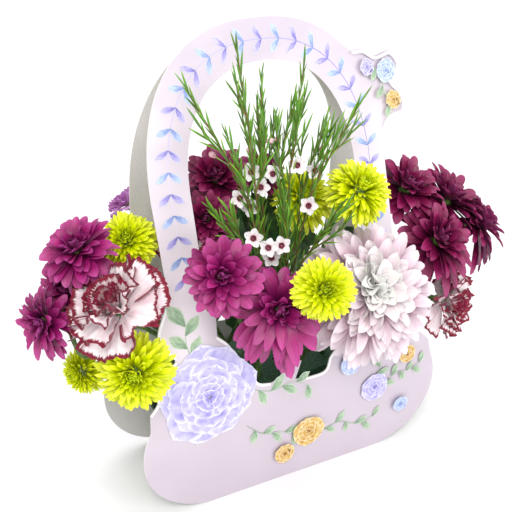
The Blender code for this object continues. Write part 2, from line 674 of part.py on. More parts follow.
# Stems: name, foot in the foam, the heads it carries, and its leaves: route, point, tip, width.
STEMS = (
    ("stem_purple_left", (-58, 14), ("mum_purple_left_top", "mum_purple_left_mid", "mum_purple_left_low"),
     ((0, 5, (-114, 6, 170), 17), (1, 4, (-112, 30, 126), 18))),
    ("stem_lime_left", (-63, -6), ("mum_lime_left_low", "mum_lime_left_side"),
     ((0, 3, (-98, -14, 92), 16),)),
    ("stem_lime_left_top", (-48, 4), ("mum_lime_left_top",), ((0, 4, (-72, 22, 152), 15),)),
    ("stem_carnation_left", (-52, -16), ("carnation_left",), ()),
    ("stem_carnation_back", (-42, 25), ("carnation_back",), ((0, 4, (-30, 34, 132), 15),)),
    ("stem_carnation_inner", (-33, 12), ("carnation_inner",), ()),
    ("stem_purple_front", (-24, -20), ("mum_purple_front_left", "mum_purple_front_mid"),
     ((0, 2, (-50, -36, 122), 18), (1, 3, (-40, -30, 140), 20), (1, 2, (-21, -36, 112), 15),
      (0, 4, (-72, -10, 136), 16))),
    ("stem_purple_back", (-16, 20), ("mum_purple_back_left", "mum_purple_back_low", "mum_purple_back_mid"),
     ((0, 4, (-40, 34, 168), 18), (2, 4, (14, 36, 150), 18))),
    ("stem_lime_front", (-6, -24), ("mum_lime_front",), ((0, 2, (14, -36, 112), 15),)),
    ("stem_lime_right", (22, 8), ("mum_lime_mid", "mum_lime_right"),
     ((0, 4, (38, 34, 148), 18), (1, 6, (56, 12, 188), 15))),
    ("stem_pink", (34, -14), ("mum_pink_large",), ((0, 2, (22, -34, 120), 17), (0, 3, (62, -14, 112), 17))),
    ("stem_purple_right", (56, 8), ("mum_purple_right_back", "mum_purple_right_top", "mum_purple_right_front",
                                    "mum_purple_right_far"),
     ((0, 4, (76, 32, 160), 18), (3, 5, (142, 26, 128), 18))),
    ("stem_carnation_right", (62, -10), ("carnation_right",), ((0, 3, (94, -28, 112), 15),)),
)

# Waxflower sprays: name, foot, the points that each twig passes, small flowers, and buds.
NEEDLE_SPACING = 22.0
GOLDEN_TURN = 2.4               # angle from one needle leaf to the next, in radians
LONG_TWIG = 120.0
BARE_LONG, BARE_SHORT = 0.45, 0.35  # lower share of a long and of a short twig without needle leaves
WAXFLOWERS = (
    ("waxflower_left", (-22, -4),
     (((-29, -22, 190), (-42, -24, 240), (-76, -16, 308)),
      ((-27, -22, 190), (-35, -24, 260), (-44, -18, 330)),
      ((-34, -28, 182), (-46, -36, 206), (-55, -36, 222))),
     ((-40, -18, 230), (-40, -38, 210), (-31, -42, 203), (-32, -18, 222)), ((-57, -12, 261),)),
    ("waxflower_back", (-12, 4),
     (((-16, -8, 190), (-19, -6, 245), (-21, -8, 305)), ((-15, -2, 190), (-13, 2, 235), (-12, 4, 262))),
     ((-28, -10, 243), (-23, -14, 233), (-13, -12, 240)), ((-26, -4, 256), (-16, -12, 264))),
    ("waxflower_mid", (-2, -6),
     (((-6, -22, 190), (-3, -18, 245), (7, -12, 309)), ((-5, -14, 190), (-3, -4, 240), (8, 0, 280)),
      ((-9, -30, 178), (-12, -34, 200), (-10, -30, 214))),
     ((2, -18, 246), (-20, -40, 201), (-24, -34, 190)), ((-8, -8, 262),)),
    ("waxflower_right", (8, 2),
     (((4, -22, 190), (13, -27, 236), (42, -25, 283)), ((6, -14, 190), (12, -14, 232), (27, -10, 267)),
      ((-4, -33, 172), (2, -46, 198), (7, -56, 218))),
     ((4, -32, 222), (16, -19, 240)), ((22, -16, 254),)),
)


def stems():
    heads = {name: (centre, facing, BLOOMS[kind]["bottom"] * -radius + TOUCH)
             for name, kind, centre, facing, radius in HEADS}
    for name, foot, carried, leaves in STEMS:
        routes = [stem_path(foot, *heads[head], via=WAYPOINTS.get(head, ())) for head in carried]
        leafy_stem(name, routes, leaves)


def foam_block():
    """The foam, with one plain hole for each stem."""
    x, y, low, high = FOAM["half_x"], FOAM["half_y"], FOAM["bottom"], FOAM["top"]
    profile = [(-y, low), (y, low), (y, high), (-y, high)]
    block = extruded("foam_block", profile, -x, x, "foam")
    holes = []
    for fx, fy in [stem[1] for stem in STEMS] + [spray[1] for spray in WAXFLOWERS]:
        path = [(fx, fy, high - STEM_DEPTH), (fx, fy, high + 5.0)]
        holes.append(solid("hole", *tube(path, [2.8, 2.8], 5), "foam"))
    return boolean(block, holes, "DIFFERENCE")


def build():
    for old in list(bpy.data.objects):
        bpy.data.objects.remove(old)
    board_panel("front_panel", front_outline(), front_hole(), front_y, BEND_CUTS, "board_front")
    board_panel("back_panel", back_outline(), back_hole(), lambda z: DEPTH / 2, (), "board_back")
    base_board()
    tray()
    foam_block()
    stems()
    for number, (name, kind, centre, facing, radius) in enumerate(HEADS):
        bloom(name, kind, centre, facing, radius, 100 + number)
    for number, (name, foot, twigs, flowers, buds) in enumerate(WAXFLOWERS):
        waxflower(name, foot, twigs, flowers, buds, 200 + number)


build()
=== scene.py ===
"""Flower basket arrangement: a folded board carrier filled with cut flowers, dressed over its CAD frame.

Lengths are millimetres until a mesh is made, and colours are sRGB hex values until a material takes them.
+Z is up, +X runs along the panels' width and -Y is the front.
"""

import json
from math import cos, sin, pi, radians, hypot

import bpy
import bmesh
import numpy as np
from mathutils import Matrix, Vector

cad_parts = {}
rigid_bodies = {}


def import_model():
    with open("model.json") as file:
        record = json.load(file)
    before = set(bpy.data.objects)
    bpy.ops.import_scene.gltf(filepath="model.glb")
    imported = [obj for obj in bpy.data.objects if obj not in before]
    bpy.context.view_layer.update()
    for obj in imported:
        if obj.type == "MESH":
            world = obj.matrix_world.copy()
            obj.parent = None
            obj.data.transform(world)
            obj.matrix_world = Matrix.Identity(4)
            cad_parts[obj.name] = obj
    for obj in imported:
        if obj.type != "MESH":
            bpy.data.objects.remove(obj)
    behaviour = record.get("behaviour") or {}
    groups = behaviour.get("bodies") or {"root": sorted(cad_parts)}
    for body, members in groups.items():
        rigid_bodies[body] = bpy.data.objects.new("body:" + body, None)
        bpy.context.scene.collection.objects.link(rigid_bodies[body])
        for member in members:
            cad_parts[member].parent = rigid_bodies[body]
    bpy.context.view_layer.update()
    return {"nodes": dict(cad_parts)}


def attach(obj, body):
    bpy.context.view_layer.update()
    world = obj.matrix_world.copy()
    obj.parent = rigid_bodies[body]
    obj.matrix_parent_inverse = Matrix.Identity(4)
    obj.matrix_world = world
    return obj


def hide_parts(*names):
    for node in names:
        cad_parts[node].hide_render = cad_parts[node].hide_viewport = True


MM = 0.001
BODY = "root"

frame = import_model()

# ---- camera and light ----

CAMERA_PLACE = (-0.28298, -0.49639, 0.48049)
CAMERA_TURN, CAMERA_TILT, CAMERA_ROLL = -0.491, 0.5, 0.025      # radians
CAMERA_LENS = 63.63


def camera():
    """The view from the front left and above."""
    back = np.array((sin(CAMERA_TURN) * cos(CAMERA_TILT), -cos(CAMERA_TURN) * cos(CAMERA_TILT),
                     sin(CAMERA_TILT)))
    level = np.cross((0.0, 0.0, 1.0), back)
    level /= np.linalg.norm(level)
    up = np.cross(back, level)
    right = cos(CAMERA_ROLL) * level + sin(CAMERA_ROLL) * up
    top = cos(CAMERA_ROLL) * up - sin(CAMERA_ROLL) * level
    made = bpy.data.objects.new("camera", bpy.data.cameras.new("camera"))
    made.data.lens = CAMERA_LENS
    turned = np.array((right, top, back)).T
    rows = [(*row, spot) for row, spot in zip(turned.tolist(), CAMERA_PLACE)]
    made.matrix_world = Matrix(rows + [(0, 0, 0, 1)])
    bpy.context.scene.collection.objects.link(made)
    bpy.context.scene.camera = made


def area_light(name, spot, aim, size, power, tint):
    """A round soft box at a spot, aimed at another. Size and places are in metres, and power is in watts."""
    lamp = bpy.data.lights.new(name, "AREA")
    lamp.shape, lamp.size, lamp.energy, lamp.color = "DISK", size, power, colour(tint)[:3]
    made = bpy.data.objects.new(name, lamp)
    made.location = spot
    made.rotation_euler = (Vector(spot) - Vector(aim)).to_track_quat("Z", "Y").to_euler()
    bpy.context.scene.collection.objects.link(made)


# ---- materials ----

MATH, MIX, RAMP, RANGE = "ShaderNodeMath", "ShaderNodeMix", "ShaderNodeValToRGB", "ShaderNodeMapRange"
NOISE, ATTRIBUTE, COMBINE = "ShaderNodeTexNoise", "ShaderNodeAttribute", "ShaderNodeCombineXYZ"
PLACE, TINT = "ShaderNodeTexCoord", "ShaderNodeHueSaturation"
VECTOR_MATH, TO_ROTATION = "ShaderNodeVectorMath", "FunctionNodeEulerToRotation"
RANDOM, STORE = "FunctionNodeRandomValue", "GeometryNodeStoreNamedAttribute"
REALIZE, SET_MATERIAL = "GeometryNodeRealizeInstances", "GeometryNodeSetMaterial"
MIX_LOW, MIX_HIGH = 6, 7                        # a mix node's two colour inputs
MIXED = dict(out=2, data_type="RGBA")           # a mix node's settings and its colour output
PETAL_GLOW = (1.0, 0.6, 0.6)                    # light goes further into petals in red than in green or blue
PETAL_SHADE = 0.88                              # mean brightness of a petal's veins
CELL_STRIDE = 41.0                              # keeps one petal's cells apart from the next one's


def colour(code):
    """An sRGB hex value as linear red, green, blue and alpha."""
    channels = [int(code[i:i + 2], 16) / 255 for i in (1, 3, 5)]
    return tuple(c / 12.92 if c <= 0.04045 else ((c + 0.055) / 1.055) ** 2.4 for c in channels) + (1.0,)


def add(tree, kind, inputs=None, out=0, stops=(), **settings):
    """Adds a node with its settings, gives or links its inputs, and returns one of its outputs."""
    node = tree.nodes.new(kind)
    for name, value in settings.items():
        setattr(node, name, value)
    for key, value in (inputs or {}).items():
        if isinstance(value, (list, bpy.types.NodeSocket)):
            for socket in value if isinstance(value, list) else [value]:
                tree.links.new(socket, node.inputs[key])
        else:
            node.inputs[key].default_value = value
    if stops:
        elements = node.color_ramp.elements
        elements[0].position, elements[-1].position = stops[0][0], stops[-1][0]
        for position, _ in stops[1:-1]:
            elements.new(position)
        for element, (_, code) in zip(elements, stops):
            element.color = colour(code)
    return node.outputs[out] if node.outputs else None


def start(name, **settings):
    """A material, its node tree and its shader, with values for the shader's own sockets."""
    made = bpy.data.materials.new(name)
    made.use_nodes = True
    tree = made.node_tree
    shader = tree.nodes["Principled BSDF"]
    for key, value in settings.items():
        shader.inputs[key.replace("_", " ").title().replace("Ior", "IOR")].default_value = value
    return made, tree, shader


def finish(tree, shader, skin, height=None, depth=0.0):
    """Gives the shader its colour, and relief of this depth in mm."""
    tree.links.new(skin, shader.inputs["Base Color"])
    if height:
        bump = add(tree, "ShaderNodeBump", {"Height": height, "Distance": depth * MM, "Strength": 1.0})
        tree.links.new(bump, shader.inputs["Normal"])


def petal_grain(tree, lengthwise, crosswise):
    """Fine cells drawn out along each petal, from the petal's own coordinates."""
    spot = {}
    for axis, label, cells in (("X", "along", lengthwise), ("Y", "across", crosswise),
                               ("Z", "tone", CELL_STRIDE)):
        mark = add(tree, ATTRIBUTE, out="Fac", attribute_name=label)
        spot[axis] = add(tree, MATH, {0: mark, 1: cells}, operation="MULTIPLY")
    return add(tree, NOISE, {"Vector": add(tree, COMBINE, spot), "Scale": 1.0, "Detail": 4.0}, out="Fac")


def mum_petal(name, stops, under, heart, veins, depth, heart_start=0.62, contrast=0.20):
    """Chrysanthemum petal, grown: a satin waxy skin over moist cells that lets some light through, with fine
    veins along it, a colour from root to tip, and an underside and a heart in other colours. The heart starts
    at a share of the way in, and contrast is how much the veins darken the petal."""
    made, tree, shader = start(name, roughness=0.38, subsurface_weight=0.1, subsurface_scale=0.0005,
                               subsurface_radius=PETAL_GLOW, specular_ior_level=0.5)
    grain = petal_grain(tree, 2.0, veins)
    along, below, layer, tone = (add(tree, ATTRIBUTE, out="Fac", attribute_name=label)
                                 for label in ("along", "under", "layer", "tone"))
    inner = add(tree, RANGE, {"Value": layer, "From Min": heart_start,
                              "From Max": min(1.0, heart_start + 0.4)})
    # Colour from root to tip. The darker roots of the purple and pink petals, and the dark heart of the
    # purple ones, are painted shade deep in the head.
    skin = add(tree, RAMP, {"Fac": along}, stops=stops)
    for share, code in ((below, under), (inner, heart)):
        skin = add(tree, MIX, {"Factor": share, MIX_LOW: skin, MIX_HIGH: colour(code)}, **MIXED)
    shade = add(tree, RANGE, {"Value": grain, "From Min": 0.3, "From Max": 0.7,
                              "To Min": PETAL_SHADE - contrast, "To Max": PETAL_SHADE + contrast})
    tone = add(tree, RANGE, {"Value": tone, "To Min": -0.6 * contrast, "To Max": 0.6 * contrast})
    shade = add(tree, MATH, {0: shade, 1: tone})
    finish(tree, shader, add(tree, TINT, {"Color": skin, "Value": shade}), grain, depth)
    return made


def carnation_petal(name, pale, warm, edge, heart, bleed):
    """Carnation petal, grown: matte crepe, pale inside, with a deep border that runs inwards in fine streaks
    as far as bleed, in mm."""
    made, tree, shader = start(name, roughness=0.6, subsurface_weight=0.1, subsurface_scale=0.0005,
                               subsurface_radius=PETAL_GLOW, sheen_weight=0.2, specular_ior_level=0.35)
    streaks, clouds = petal_grain(tree, 1.2, 20.0), petal_grain(tree, 2.0, 4.0)
    rim, layer, tone = (add(tree, ATTRIBUTE, out="Fac", attribute_name=label)
                        for label in ("rim", "layer", "tone"))
    reach = add(tree, RANGE, {"Value": streaks, "From Min": 0.32, "From Max": 0.70, "To Min": 0.35 * bleed,
                              "To Max": bleed})
    border = add(tree, MATH, {0: 1.0, 1: add(tree, MATH, {0: rim, 1: reach}, operation="DIVIDE")},
                 operation="SUBTRACT", use_clamp=True)
    border = add(tree, RANGE, {"Value": border, "From Min": 0.10, "From Max": 0.42})
    inner = add(tree, RANGE, {"Value": layer, "From Min": 0.45, "From Max": 0.95, "To Max": 0.8})
    skin = add(tree, RAMP, {"Fac": clouds}, stops=((0.35, pale), (0.65, warm)))
    for share, code in ((border, edge), (inner, heart)):
        skin = add(tree, MIX, {"Factor": share, MIX_LOW: skin, MIX_HIGH: colour(code)}, **MIXED)
    tone = add(tree, RANGE, {"Value": tone, "To Min": 0.9, "To Max": 1.08})
    finish(tree, shader, add(tree, TINT, {"Color": skin, "Value": tone}), streaks, 0.2)
    return made


def green(name, shades, rib, roughness=0.42, cell=6.0):
    """Leaf or stem, grown: a waxy cuticle over uneven green cells, with a paler rib along the middle. Cell is
    the size of its mottling in mm."""
    made, tree, shader = start(name, roughness=roughness, subsurface_weight=0.08, subsurface_scale=0.002,
                               specular_ior_level=0.45)
    across, rim, tone = (add(tree, ATTRIBUTE, out="Fac", attribute_name=label)
                         for label in ("across", "rim", "tone"))
    where = add(tree, PLACE, out="Object")
    mottle = add(tree, NOISE, {"Vector": where, "Scale": 1 / (cell * MM), "Detail": 4.0})
    skin = add(tree, RAMP, {"Fac": mottle}, stops=tuple(zip((0.3, 0.5, 0.72), shades)))
    side = add(tree, MATH, {0: across}, operation="ABSOLUTE")
    line = add(tree, RANGE, {"Value": side, "From Max": 0.10, "To Min": 0.8, "To Max": 0.0})
    line = add(tree, MATH, {0: line, 1: rim}, operation="MULTIPLY", use_clamp=True)
    skin = add(tree, MIX, {"Factor": line, MIX_LOW: skin, MIX_HIGH: colour(rib)}, **MIXED)
    tone = add(tree, RANGE, {"Value": tone, "To Min": 0.8, "To Max": 1.2})
    finish(tree, shader, add(tree, TINT, {"Color": skin, "Value": tone}), mottle, 0.2)
    return made


def mottled(name, stops, size, relief, **finishes):
    """A surface mottled in a few shades, with the size of its mottling and the depth of its relief in mm."""
    made, tree, shader = start(name, **finishes)
    where = add(tree, PLACE, out="Object")
    cloud = add(tree, NOISE, {"Vector": where, "Scale": 1 / (size * MM), "Detail": 5.0})
    finish(tree, shader, add(tree, RAMP, {"Fac": cloud}, stops=stops), cloud, relief)
    return made


# ---- meshes ----

SHARP = radians(55)             # a thin blade keeps a crisp edge, and shallower folds are smooth


class Shape:
    """Points, faces and numbers stored at the points, gathered into one mesh. It stores only the numbers that
    some piece gives, so that a tree can store the others."""

    MARKS = ("along", "across", "tone", "layer", "under", "rim")

    def __init__(self):
        self.points, self.faces, self.slots, self.count = [], [], [], 0
        self.marks = {name: [] for name in self.MARKS}
        self.given = set()

    def put(self, points, faces, slot=0, **marks):
        """Adds points, faces that count from the first of them, and one or all of their numbers for each
        mark."""
        points = np.asarray(points, float).reshape(-1, 3)
        self.points.append(points)
        self.faces += [tuple(int(i) + self.count for i in face) for face in faces]
        self.slots += [slot] * len(faces)
        for name in self.MARKS:
            self.marks[name].append(np.broadcast_to(np.ravel(marks.get(name, 0.0)), len(points)))
        self.given |= set(marks)
        self.count += len(points)

    def leaf(self, grid, thick, slot=0, **marks):
        """A closed thin blade from a grid of points along and across its upper skin."""
        rows, columns = grid.shape[:2]
        normal = np.cross(np.gradient(grid, axis=0), np.gradient(grid, axis=1))
        normal /= np.maximum(np.linalg.norm(normal, axis=2, keepdims=True), 1e-9)
        lower = (grid - normal * thick)[1:-1, 1:-1]
        upper_number = np.arange(rows * columns).reshape(rows, columns)
        lower_number = upper_number.copy()
        inner_number = np.arange((rows - 2) * (columns - 2)).reshape(rows - 2, columns - 2)
        lower_number[1:-1, 1:-1] = rows * columns + inner_number
        faces = []
        for number, flip in ((upper_number, False), (lower_number, True)):
            quads = np.stack((number[:-1, :-1], number[1:, :-1], number[1:, 1:], number[:-1, 1:]), axis=-1)
            quads = quads.reshape(-1, 4)
            faces += [tuple(q) for q in (quads[:, ::-1] if flip else quads)]
        values = {}
        for name, value in marks.items():
            value = np.broadcast_to(np.asarray(value, float), (rows, columns))
            values[name] = np.concatenate((value.ravel(), value[1:-1, 1:-1].ravel()))
        values["under"] = np.concatenate((np.zeros(rows * columns), np.ones(lower[..., 0].size)))
        self.put(np.concatenate((grid.reshape(-1, 3), lower.reshape(-1, 3))), faces, slot, **values)

    def turned(self, profile, centre, facing, sides, slot=0, **marks):
        """A solid turned round an axis, from pairs of radius and height that start and end on it."""
        u, v, w = axes(facing)
        angles = np.arange(sides) * 2 * pi / sides
        ring = np.cos(angles)[:, None] * u + np.sin(angles)[:, None] * v
        inner = profile[1:-1]
        points = [centre + profile[0][1] * w] + [centre + r * a + h * w for r, h in inner for a in ring]
        points.append(centre + profile[-1][1] * w)
        faces = [(0, 1 + (k + 1) % sides, 1 + k) for k in range(sides)]
        for level in range(len(inner) - 1):
            faces += band(1 + level * sides, sides)
        low = 1 + (len(inner) - 1) * sides
        faces += [(low + k, low + (k + 1) % sides, len(points) - 1) for k in range(sides)]
        self.put(points, faces, slot, **marks)

    def tube(self, path, radii, sides, slot=0, **marks):
        """A closed round tube along a path."""
        path = np.asarray(path, float)
        along = np.gradient(path, axis=0)
        along /= np.linalg.norm(along, axis=1, keepdims=True)
        side = axes(along[0])[0]
        rings = []
        for centre, tangent, radius in zip(path, along, radii):
            side = side - tangent * np.dot(side, tangent)
            side /= np.linalg.norm(side)
            up = np.cross(tangent, side)
            a = np.arange(sides) * 2 * pi / sides
            rings.append(centre + radius * (np.cos(a)[:, None] * side + np.sin(a)[:, None] * up))
        points = np.concatenate(rings)
        faces = []
        for level in range(len(path) - 1):
            faces += band(level * sides, sides)
        faces.append(tuple(reversed(range(sides))))
        faces.append(tuple(range(len(points) - sides, len(points))))
        share = np.repeat(np.linspace(0, 1, len(path)), sides)
        self.put(points, faces, slot, **{"along": share, **marks})

    def object(self, name, materials, linked=True):
        """The finished object, smooth except at its sharp edges."""
        mesh = bpy.data.meshes.new(name)
        mesh.from_pydata((np.concatenate(self.points) * MM).tolist(), [], self.faces)
        for label in sorted(self.given):
            stored = mesh.attributes.new(label, "FLOAT", "POINT")
            stored.data.foreach_set("value", np.concatenate(self.marks[label]).astype(np.float32))
        for material in materials:
            mesh.materials.append(material)
        mesh.polygons.foreach_set("material_index", np.array(self.slots, np.int32))
        mesh.shade_smooth()
        mesh.set_sharp_from_angle(angle=SHARP)
        made = bpy.data.objects.new(name, mesh)
        if linked:
            bpy.context.scene.collection.objects.link(made)
        return made


def band(low, sides):
    """The faces between one ring of points and the next."""
    high = low + sides
    return [(low + k, low + (k + 1) % sides, high + (k + 1) % sides, high + k) for k in range(sides)]


def node_tree(name, **sockets):
    """An empty Geometry Nodes tree with these named inputs."""
    tree = bpy.data.node_groups.new(name, "GeometryNodeTree")
    for label, kind in sockets.items():
        tree.interface.new_socket(label, in_out="INPUT", socket_type="NodeSocket" + kind)
    tree.interface.new_socket("Geometry", in_out="OUTPUT", socket_type="NodeSocketGeometry")
    return tree


def grow(made, tree, **values):
    """Gives a piece what its tree makes from these values, as a plain mesh."""
    modifier = made.modifiers.new(tree.name, "NODES")
    modifier.node_group = tree
    for item in tree.interface.items_tree:
        if item.in_out == "INPUT" and item.name in values:
            modifier[item.identifier] = values[item.name]
    graph = bpy.context.evaluated_depsgraph_get()
    mesh = bpy.data.meshes.new_from_object(made.evaluated_get(graph), preserve_all_data_layers=True,
                                           depsgraph=graph)
    made.modifiers.clear()
    made.data = mesh


def joined(name, pieces):
    """One piece from several."""
    with bpy.context.temp_override(active_object=pieces[0], selected_editable_objects=pieces):
        bpy.ops.object.join()
    pieces[0].name = name
    return pieces[0]


def axes(facing, turn=0.0):
    """Two directions across a facing direction, and the facing direction itself."""
    w = np.array(facing, float)
    w /= np.linalg.norm(w)
    side = np.cross((0.0, 0.0, 1.0), w)
    if np.linalg.norm(side) < 1e-6:
        side = np.array((1.0, 0.0, 0.0))
    side /= np.linalg.norm(side)
    up = np.cross(w, side)
    return cos(turn) * side + sin(turn) * up, cos(turn) * up - sin(turn) * side, w


def spline(points, steps):
    """A smooth open curve through a few points, as Catmull-Rom spans of this many steps."""
    p = [np.array(q, float) for q in points]
    curve = []
    for i, (a, b) in enumerate(zip(p, p[1:])):
        before = p[i - 1] if i > 0 else 2 * p[0] - p[1]
        after = p[i + 2] if i + 2 < len(p) else 2 * p[-1] - p[-2]
        for k in range(steps):
            t = k / steps
            curve.append(0.5 * (2 * a + (b - before) * t + (2 * before - 5 * a + 4 * b - after) * t * t
                                + (3 * a - before - 3 * b + after) * t ** 3))
    curve.append(p[-1])
    return curve


def place(piece, slot, *nodes):
    """Hangs a finished piece on the part and hides the solids that it stands for."""
    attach(piece, BODY)
    if nodes:
        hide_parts(*nodes)


# ---- the board carrier ----

HEIGHT = 331.0                  # ground to the top of both arches
BOARD = 0.8                     # thickness of the board
DEPTH = 82.5                    # between the two panels at the ground
POCKET_HALF = 123.0             # half of the pocket's width
FLAT_HALF = 68.0                # half of the straight bottom edge
CORNER_TOP = 53.0               # height where the pocket is widest
BAND = 27.0                     # width of the handle band
FRONT_ARCH = dict(half=91.5, spring=224.0, power=2.4, shift=-2.0)
BACK_ARCH = dict(half=95.0, spring=215.0, power=2.2, shift=0.0)
LEAN_START = 94.0               # height where the front panel starts to lean back
LEAN = 0.344                    # how far it leans for each mm of height
LEAN_BLEND = 12.0               # how softly it bends there
EDGE_STEPS = 9                  # points between two given points of a cut edge
CORNER_STEPS = 36               # straight pieces round each end of the pocket
RIM = 1.7                       # width of the unprinted margin along the die-cut motifs
RIM_INSET = 0.15                # and its gap to the cut edge


def front_y(z):
    """Middle of the front panel's board at a height: upright, then leaning back to the top."""
    step = (z - LEAN_START) / LEAN_BLEND
    return -DEPTH / 2 + LEAN * LEAN_BLEND * np.logaddexp(0.0, step)


def arch(half, top, spring, power, shift, steps):
    """Points over an arch from its right foot to its left foot."""
    points = []
    for i in range(steps + 1):
        a = pi * i / steps
        x = abs(cos(a)) ** (2 / power) * (1 if cos(a) > 0 else -1)
        points.append((shift + half * x, spring + (top - spring) * sin(a) ** (2 / power)))
    return points


def corner(side, start, end):
    """Points round the pocket's rounded end, from angle start to end, in degrees up from the ground."""
    points = []
    for i in range(CORNER_STEPS + 1):
        a = radians(start + (end - start) * i / CORNER_STEPS)
        points.append((side * (FLAT_HALF + (POCKET_HALF - FLAT_HALF) * sin(a)), CORNER_TOP * (1 - cos(a))))
    return points


def pairs(curve):
    """A flat curve as plain pairs of numbers."""
    return [(float(x), float(z)) for x, z in curve]


# Cut edges of the die-cut motifs, across the panel and up it: the lobes at the arch's right shoulder, the
# leaf and flower outside the left leg's foot, and the ones that rise into the opening.
WING_EDGE = (((91.5, 250.0), (97.0, 256.0), (109.0, 259.0), (108.0, 271.0), (100.0, 279.0)),
             ((100.0, 279.0), (108.0, 290.0), (101.0, 300.0), (88.0, 298.0), (79.0, 303.0), (69.0, 303.5)))
LEAF_BUMP = ((-93.5, 226.0), (-92.0, 168.0), (-96.0, 158.0), (-103.0, 144.0), (-100.0, 133.0), (-93.5, 125.5))
FLOWER_BUMP = ((-93.5, 124.0), (-99.0, 119.0), (-102.0, 113.0), (-109.0, 107.0), (-110.0, 99.0),
               (-116.0, 92.0))
INNER_FLOWER = ((-61.0, 134.0), (-53.0, 126.0), (-47.5, 115.0), (-39.0, 106.0), (-34.0, 93.5), (-24.0, 90.0))
INNER_LEAF = ((-17.0, 91.5), (-12.0, 99.0), (2.0, 101.0), (-4.0, 87.5))
INNER_BUDS = ((5.0, 86.0), (21.0, 87.0), (26.0, 97.0), (33.0, 102.0), (40.0, 98.0), (49.0, 100.0),
              (56.0, 97.0), (62.5, 112.0), (63.5, 140.0))


def front_outline():
    """The front panel's outer edge: pocket, arch, and the lobes of its die-cut motifs."""
    over = arch(top=HEIGHT, steps=160, **FRONT_ARCH)
    waist = spline([(115.0, 88.0), (106.0, 99.0), (95.5, 114.0), (90.0, 140.0)], EDGE_STEPS)
    wing = [(89.5, 226.0)] + pairs(spline(WING_EDGE[0], EDGE_STEPS) + spline(WING_EDGE[1], EDGE_STEPS)[1:])
    left = pairs(spline(LEAF_BUMP, EDGE_STEPS) + spline(FLOWER_BUMP, EDGE_STEPS))
    return (corner(1, 0, 112) + pairs(waist) + wing + [p for p in over if p[0] < 64.0][:-1] + left
            + list(reversed(corner(-1, 0, 118))))


def front_hole():
    """The front panel's opening, with the die-cut motifs that rise into it from the pocket."""
    over = arch(half=FRONT_ARCH["half"] - BAND, top=HEIGHT - BAND, spring=226.0, power=2.3, shift=-1.0,
                steps=120)
    leg = spline([(-65.5, 226.0), (-64.5, 170.0), (-60.0, 153.0), (-61.0, 134.0)], EDGE_STEPS)
    edge = leg + spline(INNER_FLOWER, EDGE_STEPS)[1:] + list(INNER_LEAF) + spline(INNER_BUDS, EDGE_STEPS)
    return over[:-1] + pairs(edge)


def back_outline():
    """The back panel's outer edge, the same on both sides."""
    over = arch(top=HEIGHT, steps=150, **BACK_ARCH)
    waist = spline([(115.0, 88.0), (107.0, 99.0), (99.0, 116.0), (95.0, 145.0)], EDGE_STEPS)
    right = corner(1, 0, 112) + pairs(waist)
    return right + over + [(-x, z) for x, z in reversed(right)]


def back_hole():
    """The back panel's opening."""
    over = arch(half=BACK_ARCH["half"] - BAND - 1.5, top=HEIGHT - BAND, spring=222.0, power=2.3, shift=0.0,
                steps=120)
    edge = spline([(-66.5, 222.0), (-65.5, 140.0), (-50.0, 104.0), (0.0, 96.0), (50.0, 104.0), (65.5, 140.0)],
                  3 * EDGE_STEPS)
    return over[:-1] + pairs(edge)


def board_panel(name, outline, hole, middle, cuts, materials):
    """A sheet of board with its own finish on the outside, the inside and the cut edge. Middle gives its
    place at a height, and cuts are the heights where it may bend."""
    bm = bmesh.new()
    for loop in (outline, hole):
        verts = [bm.verts.new((x, 0.0, z)) for x, z in loop]
        for a, b in zip(verts, verts[1:] + verts[:1]):
            bm.edges.new((a, b))
    bmesh.ops.remove_doubles(bm, verts=bm.verts, dist=0.05)
    bmesh.ops.triangle_fill(bm, use_beauty=True, use_dissolve=False, edges=bm.edges)
    for z in cuts:
        everything = bm.verts[:] + bm.edges[:] + bm.faces[:]
        bmesh.ops.bisect_plane(bm, geom=everything, dist=0.01, plane_co=(0, 0, z), plane_no=(0, 0, 1))
    bmesh.ops.triangulate(bm, faces=bm.faces)
    bm.verts.index_update()
    flat = [tuple(v.co) for v in bm.verts]
    triangles = [tuple(v.index for v in face.verts) for face in bm.faces]
    rim = [tuple(v.index for v in edge.verts) for edge in bm.edges if len(edge.link_faces) == 1]
    bm.free()
    count = len(flat)
    outside, directed = [], set()
    for a, b, c in triangles:
        (ax, _, az), (bx, _, bz), (cx, _, cz) = flat[a], flat[b], flat[c]
        if (bx - ax) * (cz - az) - (bz - az) * (cx - ax) < 0:
            b, c = c, b
        outside.append((a, b, c))
        directed |= {(a, b), (b, c), (c, a)}
    walls = []
    for a, b in rim:
        a, b = (a, b) if (a, b) in directed else (b, a)
        walls.append((b, a, a + count, b + count))
    shape = Shape()
    shape.put([(x, middle(z) + side * BOARD / 2, z) for side in (-1, 1) for x, _, z in flat],
              outside + [(a + count, c + count, b + count) for a, b, c in outside] + walls)
    shape.slots = [0] * len(outside) + [1] * len(outside) + [2] * len(walls)
    return shape.object(name, materials)


def coated_board():
    """Coated paperboard, offset printed: a smooth clay skin with a pale lilac tint, faintly mottled."""
    made, tree, shader = start("printed_coated_board", roughness=0.42, coat_weight=0.15, coat_roughness=0.3)
    where = add(tree, PLACE, out="Object")
    height = add(tree, "ShaderNodeSeparateXYZ", {"Vector": where}, out="Z")
    cloud = add(tree, NOISE, {"Vector": where, "Scale": 18.0, "Detail": 2.0})
    level = add(tree, RANGE, {"Value": height, "From Max": HEIGHT * MM})
    drift = add(tree, RANGE, {"Value": cloud, "From Min": 0.3, "From Max": 0.7, "To Min": -0.12,
                              "To Max": 0.12})
    level = add(tree, MATH, {0: level, 1: drift})
    # The tint changes with height: darkest at the foot and at the top, lightest a little above the middle.
    tint = add(tree, RAMP, {"Fac": level}, stops=((0.0, "#C0B4C0"), (0.3, "#C8BDC8"), (0.6, "#EAE0E8"),
                                                  (0.8, "#D4C9D3"), (1.0, "#C6BBC8")))
    finish(tree, shader, tint, add(tree, NOISE, {"Vector": where, "Scale": 900.0, "Detail": 2.0}), 0.02)
    return made


